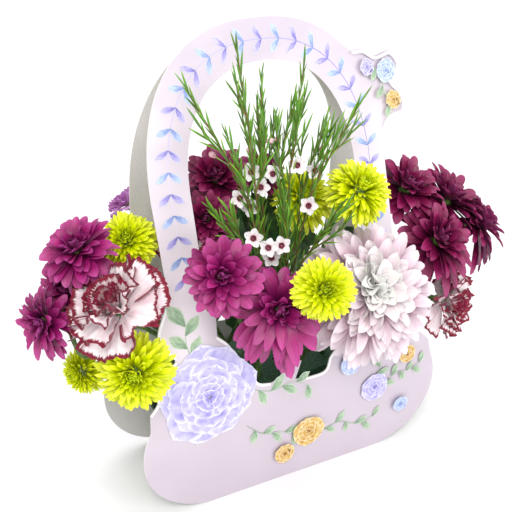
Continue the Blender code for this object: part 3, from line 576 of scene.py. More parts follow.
def grey_board():
    """Uncoated recycled greyboard: matte, with short pressed fibres about 2 mm long in two greys."""
    made, tree, shader = start("grey_back_board", roughness=0.82)
    where = add(tree, PLACE, out="Object")
    drawn = add(tree, "ShaderNodeMapping", {"Vector": where, "Scale": (1.0, 1.0, 3.0)})
    fibre = add(tree, NOISE, {"Vector": drawn, "Scale": 420.0, "Detail": 5.0})
    cloud = add(tree, NOISE, {"Vector": where, "Scale": 12.0, "Detail": 2.0})
    tone = add(tree, MATH, {0: add(tree, MATH, {0: fibre, 1: cloud}), 1: 0.5}, operation="MULTIPLY")
    tint = add(tree, RAMP, {"Fac": tone}, stops=((0.35, "#D5D3D0"), (0.5, "#DDDBD8"), (0.65, "#E4E2DF")))
    finish(tree, shader, tint, fibre, 0.05)
    return made


def panels():
    """Both panels, and the finish of the base board between them."""
    coated, grey = coated_board(), grey_board()
    # Cut edge of the board: white pulp, soft and matte.
    edge = mottled("white_cut_edge", ((0.3, "#F2F0EC"), (0.7, "#FBFAF8")), 1.5, 0.03, roughness=0.9)
    # The back panel's outer face: the same coated board in plain lilac white.
    plain = mottled("plain_coated_board", ((0.35, "#E0D8E6"), (0.65, "#E8E0EC")), 60.0, 0.02, roughness=0.45,
                    coat_weight=0.1, coat_roughness=0.3)
    bend = list(np.arange(66.0, 140.0, 3.0))        # a cut each 3 mm where the front leans
    front = board_panel("front_board", front_outline(), front_hole(), front_y, bend, (coated, grey, edge))
    place(front, "board_front", "front_panel")
    back = board_panel("back_board", back_outline(), back_hole(), lambda z: DEPTH / 2, (),
                       (grey, plain, edge))
    place(back, "board_back", "back_panel")
    dress("base_board", grey)


def dress(node, material):
    """Gives a CAD node its finished material."""
    slots = frame["nodes"][node].data.materials
    slots.clear()
    slots.append(material)


# ---- the print on the front panel ----

INK = 0.05                      # each printed level stands this far over the one below it
INK_FILM = 0.02                 # thickness of the ink
CROWD = 1.6                     # how much closer the rows of a petal are near its round tip
LINE_STEPS = 6                  # points between two given points of a printed line


class Print:
    """Thin printed shapes that lie over the front face of the front panel, in levels."""

    def __init__(self):
        self.shape = Shape()
        self.level = 1

    def patch(self, grid, slot, **marks):
        """One thin closed shape from a grid of points across the panel and up it."""
        z = grid[..., 1]
        over = front_y(z) - BOARD / 2 - INK * self.level
        self.shape.leaf(np.stack((grid[..., 0], over, z), axis=-1), INK_FILM, slot, **marks)

    def petal(self, centre, angle, length, width, slot, root=0.0, bend=0.0, blunt=0.5, tone=0.5, rows=9,
              columns=7):
        """A printed petal or leaf from a centre outwards at an angle."""
        t, s = 1 - (1 - np.linspace(0, 1, rows)) ** CROWD, np.linspace(-1, 1, columns)
        half = width / 2 * swell(t, 0.12, 0.62, blunt)
        out = root + (length - root) * t
        x = out[:, None] - 0.10 * width * (s ** 2)[None, :] * t[:, None]
        y = half[:, None] * s[None, :] + bend * length * (t ** 2)[:, None]
        grid = np.stack((centre[0] + x * cos(angle) - y * sin(angle),
                         centre[1] + x * sin(angle) + y * cos(angle)), axis=-1)
        self.patch(grid, slot, along=t[:, None], across=s[None, :], tone=tone)

    def line(self, points, width, slot, tone=0.5):
        """A printed line through points, thinner at its ends."""
        path = np.array(pairs(spline(points, LINE_STEPS)))
        t, s = np.linspace(0, 1, len(path)), np.array((-1.0, 0.0, 1.0))
        half = width / 2 * (0.35 + 0.65 * np.sin(pi * t) ** 0.5)
        grid = path[:, None, :] + beside(path)[:, None, :] * half[:, None, None] * s[None, :, None]
        self.patch(grid, slot, along=t[:, None], across=s[None, :], tone=tone)

    def laid(self, name, colours):
        """The finished print in its place on the board."""
        place(self.shape.object(name, colours), "board_front")


def beside(path):
    """The direction across a flat path at each of its points."""
    side = np.gradient(path, axis=0)
    return np.stack((-side[:, 1], side[:, 0]), axis=1) / np.linalg.norm(side, axis=1, keepdims=True)


def swell(t, root, widest, blunt):
    """Width along a petal, as a share of its greatest: narrow at the root and rounded at the tip."""
    rise = root + (1 - root) * np.sin(pi / 2 * np.clip(t / widest, 0, 1)) ** 1.1
    fall = np.clip((t - widest) / (1 - widest), 0, 1)
    return rise * np.maximum((1 - fall ** (1 / blunt)) ** blunt, 0.07)


def ink(name, stops, rim):
    """Offset ink on coated board, satin: a watercolour-like wash that pools along each shape, with a pale
    rim."""
    made, tree, shader = start(name, roughness=0.45, coat_weight=0.15, coat_roughness=0.3)
    along, across = (add(tree, ATTRIBUTE, out="Fac", attribute_name=label) for label in ("along", "across"))
    pool = add(tree, RANGE, {"Value": petal_grain(tree, 4.0, 2.5), "From Min": 0.3, "From Max": 0.7,
                             "To Min": -0.35, "To Max": 0.35})
    skin = add(tree, RAMP, {"Fac": add(tree, MATH, {0: along, 1: pool})}, stops=stops)
    side = add(tree, MATH, {0: across}, operation="ABSOLUTE")
    side = add(tree, RANGE, {"Value": side, "From Min": 0.72, "From Max": 0.98, "To Max": 0.75})
    tip = add(tree, RANGE, {"Value": along, "From Min": 0.9, "From Max": 1.0, "To Max": 0.75})
    edge = add(tree, MATH, {0: side, 1: tip}, operation="MAXIMUM")
    finish(tree, shader, add(tree, MIX, {"Factor": edge, MIX_LOW: skin, MIX_HIGH: colour(rim)}, **MIXED))
    return made


LAVENDER, BLUE, GOLD, SAGE, WHITE = range(5)
PAIR_SPACING = 13.5             # between the pairs of leaves of the arch's border


def inks():
    """The inks of the print, in the order of their slots."""
    return (ink("lavender_ink", ((0.0, "#6F68B8"), (0.45, "#A29AD8"), (1.0, "#C9C4EC")), "#EDEBFA"),
            ink("blue_ink", ((0.0, "#6E82C4"), (0.5, "#9FB2E2"), (1.0, "#C3D2F2")), "#E4EAFA"),
            ink("gold_ink", ((0.0, "#8A5A1E"), (0.4, "#C2913C"), (1.0, "#E2C47C")), "#F5E8C4"),
            ink("sage_ink", ((0.0, "#6F8E72"), (0.5, "#92AE8E"), (1.0, "#B7CBAE")), "#DCE8D4"),
            ink("unprinted_margin", ((0.0, "#FCFAFC"), (1.0, "#FFFFFF")), "#FFFFFF"))


def blossom(sheet, centre, radius, slot, rings, rng, start_turn=0.0):
    """A printed blossom: rings of petals, each smaller ring over the one before."""
    for number, (count, reach) in enumerate(rings):
        for half in (0, 1):
            for k in range(half, count, 2):
                angle = start_turn + 2 * pi * (k + 0.5 * (number % 2)) / count + rng.uniform(-0.08, 0.08)
                length = radius * reach * rng.uniform(0.92, 1.04)
                sheet.petal(centre, angle, length, 2.5 * length * sin(pi / count) + 1.0, slot,
                            root=length * 0.15, blunt=0.42, tone=rng.uniform())
            sheet.level += 1


def sprig(sheet, stem, leaves, rng, size=13.0, width=6.5):
    """A printed twig with leaves in pairs."""
    sheet.line(stem, 0.7, SAGE, 0.2)
    sheet.level += 1
    path = pairs(spline(stem, LINE_STEPS))
    for k in range(leaves):
        i = int((k + 1) / (leaves + 0.5) * (len(path) - 1))
        (ax, az), (bx, bz) = path[max(i - 1, 0)], path[min(i + 1, len(path) - 1)]
        heading = np.arctan2(bz - az, bx - ax)
        side = 1 if k % 2 else -1
        length = size * rng.uniform(0.8, 1.1)
        sheet.petal(path[i], heading + side * rng.uniform(0.6, 0.9), length, width * length / size, SAGE,
                    bend=0.08 * side, blunt=0.8, tone=rng.uniform())
    sheet.level += 1


def bare_strip(sheet, edge, inward):
    """The unprinted strip along a die-cut edge, on the side that inward points to."""
    path = np.array(pairs(edge))
    side = beside(path) * inward
    grid = path[:, None, :] + side[:, None, :] * (RIM_INSET + RIM * np.array((0.0, 0.5, 1.0)))[None, :, None]
    sheet.patch(grid if inward > 0 else grid[:, ::-1], WHITE)


def wing_posy(sheet, rng):
    """Three small blossoms and a twig on the die-cut lobes at the arch's right shoulder."""
    lower, upper = (spline(edge, 5) for edge in WING_EDGE)
    bare_strip(sheet, lower + upper[1:], 1)
    sheet.level += 1
    sprig(sheet, ((84.0, 296.0), (90.0, 284.0), (94.0, 272.0), (98.0, 262.0)), 5, rng, 9.0, 4.5)
    blossom(sheet, (96.0, 288.0), 8.5, BLUE, ((6, 1.0), (6, 0.72), (5, 0.42), (3, 0.2)), rng)
    blossom(sheet, (100.0, 268.0), 6.5, GOLD, ((5, 1.0), (5, 0.65), (3, 0.3)), rng)
    blossom(sheet, (80.0, 292.0), 6.0, LAVENDER, ((5, 1.0), (4, 0.6), (3, 0.3)), rng)


def printed_front(colours):
    """A generic floral print: a large lavender blossom at the left leg's foot, small ones in three colours,
    and sage twigs."""
    rng = np.random.default_rng(11)
    sheet = Print()
    for edge, inward in ((LEAF_BUMP[1:], 1), (FLOWER_BUMP, 1), (INNER_FLOWER, -1), (INNER_BUDS[:7], -1)):
        bare_strip(sheet, spline(edge, EDGE_STEPS), inward)
    sheet.level += 1
    sprig(sheet, ((-80.0, 118.0), (-84.0, 134.0), (-82.0, 152.0)), 4, rng, 20.0, 11.0)
    sprig(sheet, ((-44.0, 92.0), (-24.0, 84.0), (-6.0, 86.0), (12.0, 76.0)), 5, rng, 15.0, 7.5)
    sprig(sheet, ((-44.0, 60.0), (-30.0, 48.0), (-14.0, 44.0), (0.0, 34.0)), 5, rng, 12.0, 6.0)
    sprig(sheet, ((18.0, 32.0), (36.0, 36.0), (54.0, 28.0), (74.0, 32.0)), 6, rng, 12.0, 6.0)
    blossom(sheet, (-72.0, 94.0), 38.0, LAVENDER,
            ((9, 1.0), (8, 0.82), (7, 0.64), (6, 0.46), (5, 0.30), (3, 0.16)), rng, 0.3)
    sprig(sheet, ((70.0, 58.0), (84.0, 66.0), (98.0, 66.0), (112.0, 72.0)), 6, rng, 11.0, 5.5)
    sprig(sheet, ((66.0, 66.0), (70.0, 80.0), (66.0, 98.0), (76.0, 118.0)), 6, rng, 12.0, 6.0)
    blossom(sheet, (66.0, 60.0), 13.0, LAVENDER, ((7, 1.0), (6, 0.76), (5, 0.50), (4, 0.26)), rng)
    blossom(sheet, (8.0, 38.0), 14.0, GOLD, ((7, 1.0), (6, 0.74), (5, 0.46), (3, 0.2)), rng)
    blossom(sheet, (-12.0, 24.0), 9.0, GOLD, ((6, 1.0), (5, 0.68), (4, 0.36)), rng, 0.5)
    blossom(sheet, (94.0, 82.0), 8.0, GOLD, ((6, 1.0), (5, 0.6), (3, 0.3)), rng)
    blossom(sheet, (42.0, 88.0), 9.0, BLUE, ((6, 1.0), (5, 0.66), (4, 0.3)), rng)
    blossom(sheet, (92.0, 36.0), 7.0, BLUE, ((5, 1.0), (4, 0.6)), rng)
    wing_posy(sheet, rng)
    sheet.laid("front_print", colours)


def arch_border(colours):
    """A printed vine border that follows the handle band: pairs of small leaves on a fine line."""
    rng = np.random.default_rng(5)
    sheet = Print()
    leg = BAND / 2
    middle = arch(half=FRONT_ARCH["half"] - leg, top=HEIGHT - leg, spring=FRONT_ARCH["spring"], power=2.35,
                  shift=FRONT_ARCH["shift"] + 0.5, steps=90)
    path = np.array([(76.5, 150.0), (76.0, 185.0)] + middle + [(-78.5, 190.0), (-77.5, 165.0)])
    length = np.concatenate(([0.0], np.cumsum(np.linalg.norm(np.diff(path, axis=0), axis=1))))
    spots = np.arange(8.0, length[-1] - 6.0, PAIR_SPACING)
    sheet.line([path[i] for i in range(0, len(path), 3)], 0.8, LAVENDER, 0.2)
    sheet.level += 1
    for number, spot in enumerate(spots):
        here, after = (np.array([np.interp(at, length, path[:, 0]), np.interp(at, length, path[:, 1])])
                       for at in (spot, spot + 1))
        heading = np.arctan2(*(after - here)[::-1])
        for side in (-1, 1):
            sheet.petal(here, heading + side * 0.85, 11.5, 5.0, LAVENDER if number % 2 else BLUE,
                        bend=0.10 * side, blunt=0.75, tone=rng.uniform(), rows=7, columns=5)
        sheet.level += 1 if number % 8 == 7 else 0
    sheet.laid("arch_border", colours)


# ---- blooms ----

# Heads: node, kind, centre, facing direction, radius.
HEADS = (
    ("mum_purple_left_top", "purple", (-145, 2, 205), (-0.45, -0.15, 0.88), 26),
    ("mum_purple_left_mid", "purple", (-150, 9, 176), (-0.80, -0.45, 0.35), 24),
    ("mum_purple_left_low", "purple", (-172, -8, 166), (-0.90, -0.35, 0.0), 22),
    ("mum_lime_left_top", "lime", (-108, 12, 199), (-0.35, -0.60, 0.72), 22),
    ("carnation_left", "carnation", (-133, -35, 180), (-0.53, -0.12, 0.84), 36),
    ("mum_lime_left_low", "lime", (-129, -52, 142), (-0.45, -0.85, 0.20), 27),
    ("mum_lime_left_side", "lime", (-146, 8, 108), (-0.90, -0.30, 0.0), 18),
    ("carnation_back", "lilac", (-89, 64, 201), (-0.40, 0.55, 0.70), 16),
    ("carnation_inner", "carnation", (-66, 18, 190), (-0.20, -0.15, 0.97), 23),
    ("mum_purple_front_left", "purple", (-69, -52, 196), (-0.40, -0.78, 0.48), 26),
    ("mum_purple_front_mid", "purple", (-33, -63, 168), (-0.25, -0.85, 0.35), 29),
    ("mum_lime_front", "lime", (-16, -88, 192), (-0.35, -0.75, 0.55), 22),
    ("mum_purple_back_left", "purple", (-35, 29, 224), (-0.25, -0.45, 0.85), 26),
    ("mum_purple_back_low", "purple", (-51, 10, 205), (-0.40, -0.70, 0.60), 22),
    ("mum_purple_back_mid", "purple", (-1, 29, 223), (0.0, -0.30, 0.95), 20),
    ("mum_lime_mid", "lime", (24, 10, 205), (0.00, -0.50, 0.86), 25),
    ("mum_lime_right", "lime", (45, -29, 223), (0.10, -0.55, 0.83), 25),
    ("mum_pink_large", "pink", (36, -62, 164), (-0.14, -0.78, 0.60), 47),
    ("mum_purple_right_back", "purple", (117, 12, 194), (0.15, -0.45, 0.86), 32),
    ("mum_purple_right_top", "purple", (155, 8, 179), (0.38, -0.35, 0.86), 34),
    ("mum_purple_right_front", "purple", (124, -24, 165), (0.20, -0.70, 0.65), 32),
    ("mum_purple_right_far", "purple", (181, -1, 159), (0.70, -0.42, 0.55), 29),
    ("carnation_right", "carnation", (140, -28, 109), (0.45, -0.88, 0.10), 29),
)

# Layers of a mum: length, width, rise at the root and at the tip in degrees, and the root's place out from
# the axis and up it. Lengths are shares of the head's radius.
PURPLE_LAYERS = (
    (0.88, 0.31, -8, -36, 0.17, -0.06), (0.86, 0.31, 6, -18, 0.17, -0.01), (0.80, 0.30, 20, -2, 0.16, 0.03),
    (0.70, 0.26, 34, 16, 0.15, 0.07), (0.57, 0.23, 46, 38, 0.13, 0.10), (0.44, 0.19, 58, 68, 0.11, 0.12),
    (0.32, 0.16, 68, 100, 0.08, 0.14), (0.22, 0.12, 78, 124, 0.05, 0.15))
LIME_LAYERS = (
    (0.70, 0.138, -26, -36, 0.26, -0.14), (0.72, 0.138, -12, -30, 0.27, -0.06),
    (0.72, 0.138, 4, -20, 0.26, 0.00), (0.70, 0.138, 16, -8, 0.25, 0.06), (0.66, 0.133, 27, 4, 0.24, 0.12),
    (0.60, 0.129, 37, 18, 0.22, 0.17), (0.53, 0.125, 46, 34, 0.19, 0.22), (0.45, 0.116, 55, 52, 0.16, 0.26),
    (0.37, 0.107, 64, 74, 0.13, 0.29), (0.28, 0.095, 72, 98, 0.09, 0.31), (0.20, 0.086, 80, 118, 0.05, 0.32),
    (0.13, 0.069, 86, 125, 0.02, 0.33))
PINK_LAYERS = (
    (0.84, 0.18, -20, -58, 0.20, -0.14), (0.88, 0.18, -8, -44, 0.20, -0.08),
    (0.86, 0.19, 2, -32, 0.20, -0.02), (0.82, 0.19, 12, -20, 0.20, 0.04), (0.77, 0.20, 20, -10, 0.20, 0.09),
    (0.71, 0.21, 26, 0, 0.19, 0.13), (0.64, 0.22, 32, 8, 0.17, 0.17), (0.57, 0.23, 37, 14, 0.14, 0.21),
    (0.50, 0.24, 42, 20, 0.11, 0.25), (0.44, 0.24, 48, 28, 0.08, 0.28), (0.38, 0.23, 56, 42, 0.05, 0.31),
    (0.31, 0.20, 68, 66, 0.01, 0.33))
# A carnation's layers: petals, length, width, rise at the root and at the tip, ruffle, root out and up.
CARNATION_LAYERS = (
    (4, 1.00, 1.30, 12, -14, 0.10, 0.04, -0.14), (5, 0.96, 1.10, 32, 4, 0.11, 0.04, -0.10),
    (4, 0.84, 1.00, 50, 28, 0.13, 0.04, -0.06), (5, 0.66, 0.72, 64, 52, 0.12, 0.03, -0.02),
    (6, 0.52, 0.50, 74, 72, 0.10, 0.02, 0.0), (5, 0.42, 0.36, 84, 88, 0.09, 0.01, 0.02))
CARNATION_CUP = ((0.0, -0.42), (0.08, -0.42), (0.13, -0.34), (0.15, -0.20), (0.15, -0.06), (0.10, 0.02),
                 (0.0, 0.04))
LARGE_CARNATION = 30.0          # above this radius a carnation has a finer edge
CREPE_THICK = 0.3               # thickness of a carnation's petal
MUM_RADIUS = 30.0               # petal forms are made for a head of this radius and scaled to each head
PETAL_THICK = 0.35              # thickness of a mum's petal on such a head
FORMS_EACH = 3                  # different petals made for each layer
SIDES = 14                      # sides of a calyx
GOLDEN_TURN = 2.39996           # radians from one petal to the next one in

# Kinds of mum: petals; how they crowd towards the heart; each petal's cup, pleats in mm and blunt tip, its
# rows and columns of points; and how loosely it is set, in radians.
MUMS = {
    "purple": dict(layers=PURPLE_LAYERS, petals=108, crowding=0.80, cup=0.45, groove=0.5, blunt=0.45,
                   grid=(9, 5), loose=0.27),
    "lime": dict(layers=LIME_LAYERS, petals=290, crowding=0.80, cup=0.50, groove=0.0, blunt=0.44, grid=(6, 5),
                 loose=0.10),
    "pink": dict(layers=PINK_LAYERS, petals=250, crowding=0.70, cup=0.60, groove=0.15, blunt=0.46,
                 grid=(9, 5), loose=0.26),
}
SPREAD = 0.3                    # how far a hanging petal also moves out
# Open heads whose lower petals hang: how far, as a share of the radius.
HANGING = {"mum_purple_front_mid": 0.55, "mum_purple_right_front": 0.35, "mum_pink_large": 0.12,
           "mum_purple_right_far": 0.35, "mum_purple_left_low": 0.25}
# Purple heads in the shade of the others, with a darker, slightly redder copy of the purple: painted shade.
SHADED_PURPLE_HEADS = ("mum_purple_back_left", "mum_purple_back_mid", "mum_purple_back_low", "mum_purple_right_back",
              "mum_purple_right_top", "mum_purple_right_front", "mum_purple_right_far")


def centreline(length, rise, fall, t, shape=1.3):
    """Places out and up at shares t of a petal that bends from one slope to another, and its slope there."""
    slope = np.radians(rise + (fall - rise) * t ** shape)
    middle = (slope[1:] + slope[:-1]) / 2
    step = np.diff(t) * length
    out = np.concatenate(([0.0], np.cumsum(np.cos(middle) * step)))
    up = np.concatenate(([0.0], np.cumsum(np.sin(middle) * step)))
    return out, up, slope


def strap_petal(length, width, rise, fall, plan, twist, lean):
    """A mum's petal along +X: a strap cupped along its length, pleated and rounded at its tip."""
    rows, columns = plan["grid"]
    t = 1 - (1 - np.linspace(0, 1, rows)) ** CROWD
    out, up, slope = centreline(length, rise, fall, t)
    s = np.linspace(-1, 1, columns)
    half = width / 2 * swell(t, 0.42, 0.62, plan["blunt"])
    lift = (plan["cup"] * half[:, None] * (s ** 2) * (0.5 + 0.5 * t)[:, None]
            + twist * half[:, None] * s * t[:, None]
            + plan["groove"] * np.cos(3 * pi * s) * np.sin(pi * t)[:, None])
    x = out[:, None] - np.sin(slope)[:, None] * lift - 0.25 * half[:, None] * (s ** 2) * t[:, None]
    z = up[:, None] + np.cos(slope)[:, None] * lift
    y = half[:, None] * s + lean * length * (t ** 2)[:, None]
    return np.stack((x, y, z), axis=-1), t, s


def petal_forms(kind, plan):
    """The petals that a mum of this kind is built from, from its outer layer inwards, each with its root in
    place out from the head's axis."""
    rng = np.random.default_rng(len(kind))
    forms = bpy.data.collections.new(kind + "_petals")
    for number, (length, width, rise, fall, root_out, root_up) in enumerate(plan["layers"]):
        for variant in range(FORMS_EACH):
            grid, t, s = strap_petal(length * MUM_RADIUS * rng.uniform(0.94, 1.03),
                                     width * MUM_RADIUS * rng.uniform(0.88, 1.06), rise + rng.uniform(-5, 5),
                                     fall + rng.uniform(-12, 12), plan, rng.uniform(-0.4, 0.4),
                                     rng.uniform(-0.08, 0.08))
            shape = Shape()
            shape.leaf(grid + np.array((root_out, 0.0, root_up)) * MUM_RADIUS, PETAL_THICK, along=t[:, None],
                       across=s[None, :])
            forms.objects.link(shape.object(f"{kind}_petal_{number:02d}_{variant}", (), linked=False))
    return forms


def whorl_tree():
    """Repeats a mum's petals round its axis, each a golden turn on from the last, from the outer layer
    inwards, and lets the lower ones hang."""
    tree = node_tree("petal_whorls", Geometry="Geometry", Centre="Vector", Facing="Vector", Radius="Float",
                     Petals="Int", Layers="Int", Crowding="Float", Looseness="Float", Sag="Float", Seed="Int",
                     Forms="Collection", Finish="Material")
    given = add(tree, "NodeGroupInput").node.outputs
    index = add(tree, "GeometryNodeInputIndex")
    share = add(tree, MATH, {0: index, 1: given["Petals"]}, operation="DIVIDE")
    left = add(tree, MATH, {0: 1.0, 1: share}, operation="SUBTRACT")
    left = add(tree, MATH, {0: left, 1: given["Crowding"]}, operation="POWER")
    age = add(tree, MATH, {0: 1.0, 1: left}, operation="SUBTRACT")
    layer = add(tree, MATH, {0: age, 1: given["Layers"]}, operation="MULTIPLY")
    layer = add(tree, MATH, {0: layer}, operation="FLOOR")
    pick = add(tree, RANDOM, {4: 0, 5: FORMS_EACH - 1, "Seed": given["Seed"]}, out=2, data_type="INT")
    pick = add(tree, MATH, {0: layer, 1: float(FORMS_EACH), 2: pick}, operation="MULTIPLY_ADD")
    jitter = add(tree, RANDOM, {0: (-1.0, -1.0, -1.0), 1: (1.0, 1.0, 1.0), "Seed": given["Seed"]},
                 data_type="FLOAT_VECTOR")
    jitter = add(tree, VECTOR_MATH, {0: jitter, "Scale": given["Looseness"]}, operation="SCALE")
    turn = add(tree, COMBINE, {"Z": add(tree, MATH, {0: index, 1: GOLDEN_TURN}, operation="MULTIPLY")})
    turn = add(tree, TO_ROTATION, {0: add(tree, VECTOR_MATH, {0: turn, 1: jitter}, operation="ADD")})
    turn = add(tree, "FunctionNodeRotateRotation", {"Rotation": add(tree, TO_ROTATION, {0: given["Facing"]}),
                                                    "Rotate By": turn}, rotation_space="LOCAL")
    vigour = add(tree, RANDOM, {2: 0.92, 3: 1.05, "Seed": given["Seed"]}, out=1)
    size = add(tree, MATH, {0: given["Radius"], 1: MUM_RADIUS * MM}, operation="DIVIDE")
    size = add(tree, MATH, {0: size, 1: vigour}, operation="MULTIPLY")
    points = add(tree, "GeometryNodePoints", {"Count": given["Petals"], "Position": given["Centre"]})
    forms = add(tree, "GeometryNodeCollectionInfo", {"Collection": given["Forms"], "Separate Children": True,
                                                     "Reset Children": True})
    petals = add(tree, "GeometryNodeInstanceOnPoints", {"Points": points, "Instance": forms,
                                                        "Pick Instance": True, "Instance Index": pick,
                                                        "Rotation": turn, "Scale": size})
    tone = add(tree, RANDOM, {2: 0.0, 3: 1.0, "Seed": given["Seed"]}, out=1)
    inward = add(tree, MATH, {0: layer, 1: given["Layers"]}, operation="DIVIDE")
    for label, value in (("tone", tone), ("layer", inward)):
        petals = add(tree, STORE, {"Geometry": petals, "Name": label, "Value": value}, domain="INSTANCE")
    petals = add(tree, REALIZE, {0: petals})
    out = add(tree, VECTOR_MATH, {0: add(tree, "GeometryNodeInputPosition"), 1: given["Centre"]},
              operation="SUBTRACT")
    down = add(tree, MATH, {0: given["Radius"], 1: -1.0}, operation="MULTIPLY")
    low = add(tree, MATH, {0: add(tree, "ShaderNodeSeparateXYZ", {0: out}, out="Z"), 1: down},
              operation="DIVIDE", use_clamp=True)
    along = add(tree, "GeometryNodeInputNamedAttribute", {"Name": "along"})
    share = add(tree, MATH, {0: along, 1: 2.0}, operation="POWER")
    for factor in (low, given["Sag"]):
        share = add(tree, MATH, {0: share, 1: factor}, operation="MULTIPLY")
    hang = add(tree, VECTOR_MATH, {0: out, "Scale": SPREAD}, operation="SCALE")
    hang = add(tree, VECTOR_MATH, {0: add(tree, COMBINE, {"Z": down}), 1: hang}, operation="ADD")
    hang = add(tree, VECTOR_MATH, {0: hang, "Scale": share}, operation="SCALE")
    petals = add(tree, "GeometryNodeSetPosition", {"Geometry": petals, "Offset": hang})
    petals = add(tree, SET_MATERIAL, {"Geometry": petals, "Material": given["Finish"]})
    add(tree, "NodeGroupOutput", {0: add(tree, "GeometryNodeJoinGeometry", {0: [given["Geometry"], petals]})})
    return tree


# Radius and height of a mum's calyx, as shares of the head's radius.
CALYX = ((0.0, -0.30), (0.05, -0.30), (0.08, -0.24), (0.15, -0.16), (0.23, -0.06), (0.22, 0.00), (0.16, 0.04),
         (0.08, 0.06), (0.0, 0.07))


def mums(materials):
    """Every chrysanthemum head, from one tree and each kind's own petals."""
    tree = whorl_tree()
    forms = {kind: petal_forms(kind, plan) for kind, plan in MUMS.items()}
    for number, (node, kind, centre, facing, radius) in enumerate(HEADS):
        if kind not in MUMS:
            continue
        plan = MUMS[kind]
        base = Shape()
        base.turned([(r * radius, h * radius) for r, h in CALYX], np.array(centre, float), facing, SIDES,
                    tone=0.5)
        head = base.object(node + "_head", (materials["calyx"],))
        turned = Matrix([row.tolist() for row in np.array(axes(facing, 0.7 * number)).T])
        # Heads in the shade of the others take the darker purple, which is painted shade.
        grow(head, tree, Centre=Vector(centre) * MM, Facing=Vector(turned.to_euler()), Radius=radius * MM,
             Petals=plan["petals"], Layers=len(plan["layers"]), Crowding=plan["crowding"],
             Looseness=plan["loose"], Sag=HANGING.get(node, 0.0), Seed=number, Forms=forms[kind],
             Finish=materials["shaded_purple" if node in SHADED_PURPLE_HEADS else kind])
        place(head, kind, node)
    for group in forms.values():
        for petal in list(group.objects):
            bpy.data.objects.remove(petal)
        bpy.data.collections.remove(group)


def set_in(grid, centre, frame_axes, angle, root_out, root_up):
    """Moves a petal from its own axes to its place round a head's axis."""
    u, v, w = frame_axes
    outward = cos(angle) * u + sin(angle) * v
    across = cos(angle) * v - sin(angle) * u
    return (centre + (root_out + grid[..., :1]) * outward + grid[..., 1:2] * across
            + (root_up + grid[..., 2:]) * w)


def fringed_petal(length, width, rise, fall, ruffle, rng, rows, columns):
    """A carnation's petal: a narrow claw that opens to a ruffled fan with a toothed edge."""
    t = np.linspace(0, 1, rows)
    out, up, slope = centreline(length, rise, fall, t, 1.0)
    s = np.linspace(-1, 1, columns)
    half = width / 2 * (0.10 + 0.90 * np.clip((t - 0.12) / 0.75, 0, 1) ** 0.85)
    folds = rng.uniform(1.6, 2.6)
    phase = rng.uniform(0, 2 * pi)
    wave = np.sin(folds * pi * s + phase) + 0.45 * np.sin(2.7 * folds * pi * s + 2 * phase)
    wave = ruffle * length * (t ** 1.6)[:, None] * wave[None, :]
    teeth = 0.035 * length * (np.arange(columns) % 2) * rng.uniform(0.5, 1.3, columns)
    back = 0.32 * half[:, None] * (s ** 2)[None, :]
    back[-1] += teeth
    lift = wave + 0.18 * half[:, None] * (s ** 2)[None, :]
    x = out[:, None] - back * np.cos(slope)[:, None] - np.sin(slope)[:, None] * lift
    z = up[:, None] - back * np.sin(slope)[:, None] + np.cos(slope)[:, None] * lift
    y = half[:, None] * s[None, :]
    to_side = (1 - np.abs(s))[None, :] * half[:, None] * 1.2 + length * (t < 0.4)[:, None]
    return np.stack((x, y, z), axis=-1), t, s, np.minimum(((1 - t) * length)[:, None], to_side)


def carnation(node, kind, centre, facing, radius, seed, materials):
    """A carnation, petal by petal, because each one is ruffled in its own way."""
    rng = np.random.default_rng(seed)
    shape = Shape()
    centre = np.array(centre, float)
    frame_axes = axes(facing, rng.uniform(0, pi))
    rows, columns = (12, 25) if radius > LARGE_CARNATION else (10, 17)
    for number, (count, length, width, rise, fall, ruffle, out, up) in enumerate(CARNATION_LAYERS):
        for k in range(count):
            angle = 2 * pi * (k + 0.5 * (number % 2) + rng.uniform(-0.15, 0.15)) / count
            tilt = rng.uniform(-8, 8)
            grid, t, s, rim = fringed_petal(length * radius * rng.uniform(0.92, 1.04),
                                            width * radius * rng.uniform(0.9, 1.1), rise + tilt,
                                            fall + tilt + rng.uniform(-8, 8), ruffle, rng, rows, columns)
            grid = set_in(grid, centre, frame_axes, angle, out * radius, up * radius)
            shape.leaf(grid, CREPE_THICK, along=t[:, None], across=s[None, :], tone=rng.uniform(), rim=rim,
                       layer=number / (len(CARNATION_LAYERS) - 1))
    shape.turned([(r * radius, h * radius) for r, h in CARNATION_CUP], centre, frame_axes[2], SIDES, 1,
                 tone=0.5)
    place(shape.object(node + "_head", (materials[kind], materials["calyx"])), kind, node)


def carnations(materials):
    """Every carnation head."""
    for number, (node, kind, centre, facing, radius) in enumerate(HEADS):
        if kind not in MUMS:
            carnation(node, kind, centre, facing, radius, 90 + number, materials)


# ---- stems, leaves and waxflower sprays ----

FOAM_TOP, STEM_DEPTH = 84.0, 22.0               # the foam's height, and how deep its holes go
STEM_SIDES = 9
LOBES, LEAF_DROOP = 3.0, 0.12   # a leaf's lobes to a side, and its arch as a share of its length
LEAF_THICK = 0.4
TOUCH = 0.4                     # gap between a stem and its head's centre solid
# How far behind a head's centre its stem ends, as a share of its radius.
BULB = {"purple": 0.34, "lime": 0.40, "pink": 0.34, "carnation": 0.42, "lilac": 0.42}
# Points that some stems pass on their way, by the heads they carry.
WAYPOINTS = {
    "mum_purple_left_low": ((-106.0, 20.0, 128.0), (-148.0, -8.0, 131.0)),
    "carnation_back": ((-50.0, 34.0, 130.0), (-58.0, 50.0, 165.0)),
    "carnation_left": ((-92.0, -12.0, 130.0), (-109.0, -12.0, 146.0)),
    "mum_lime_left_low": ((-92.0, -12.0, 112.0), (-110.0, -19.0, 124.0)),
    "mum_lime_front": ((-8.0, -43.0, 130.0), (-7.0, -55.0, 171.0)),
}
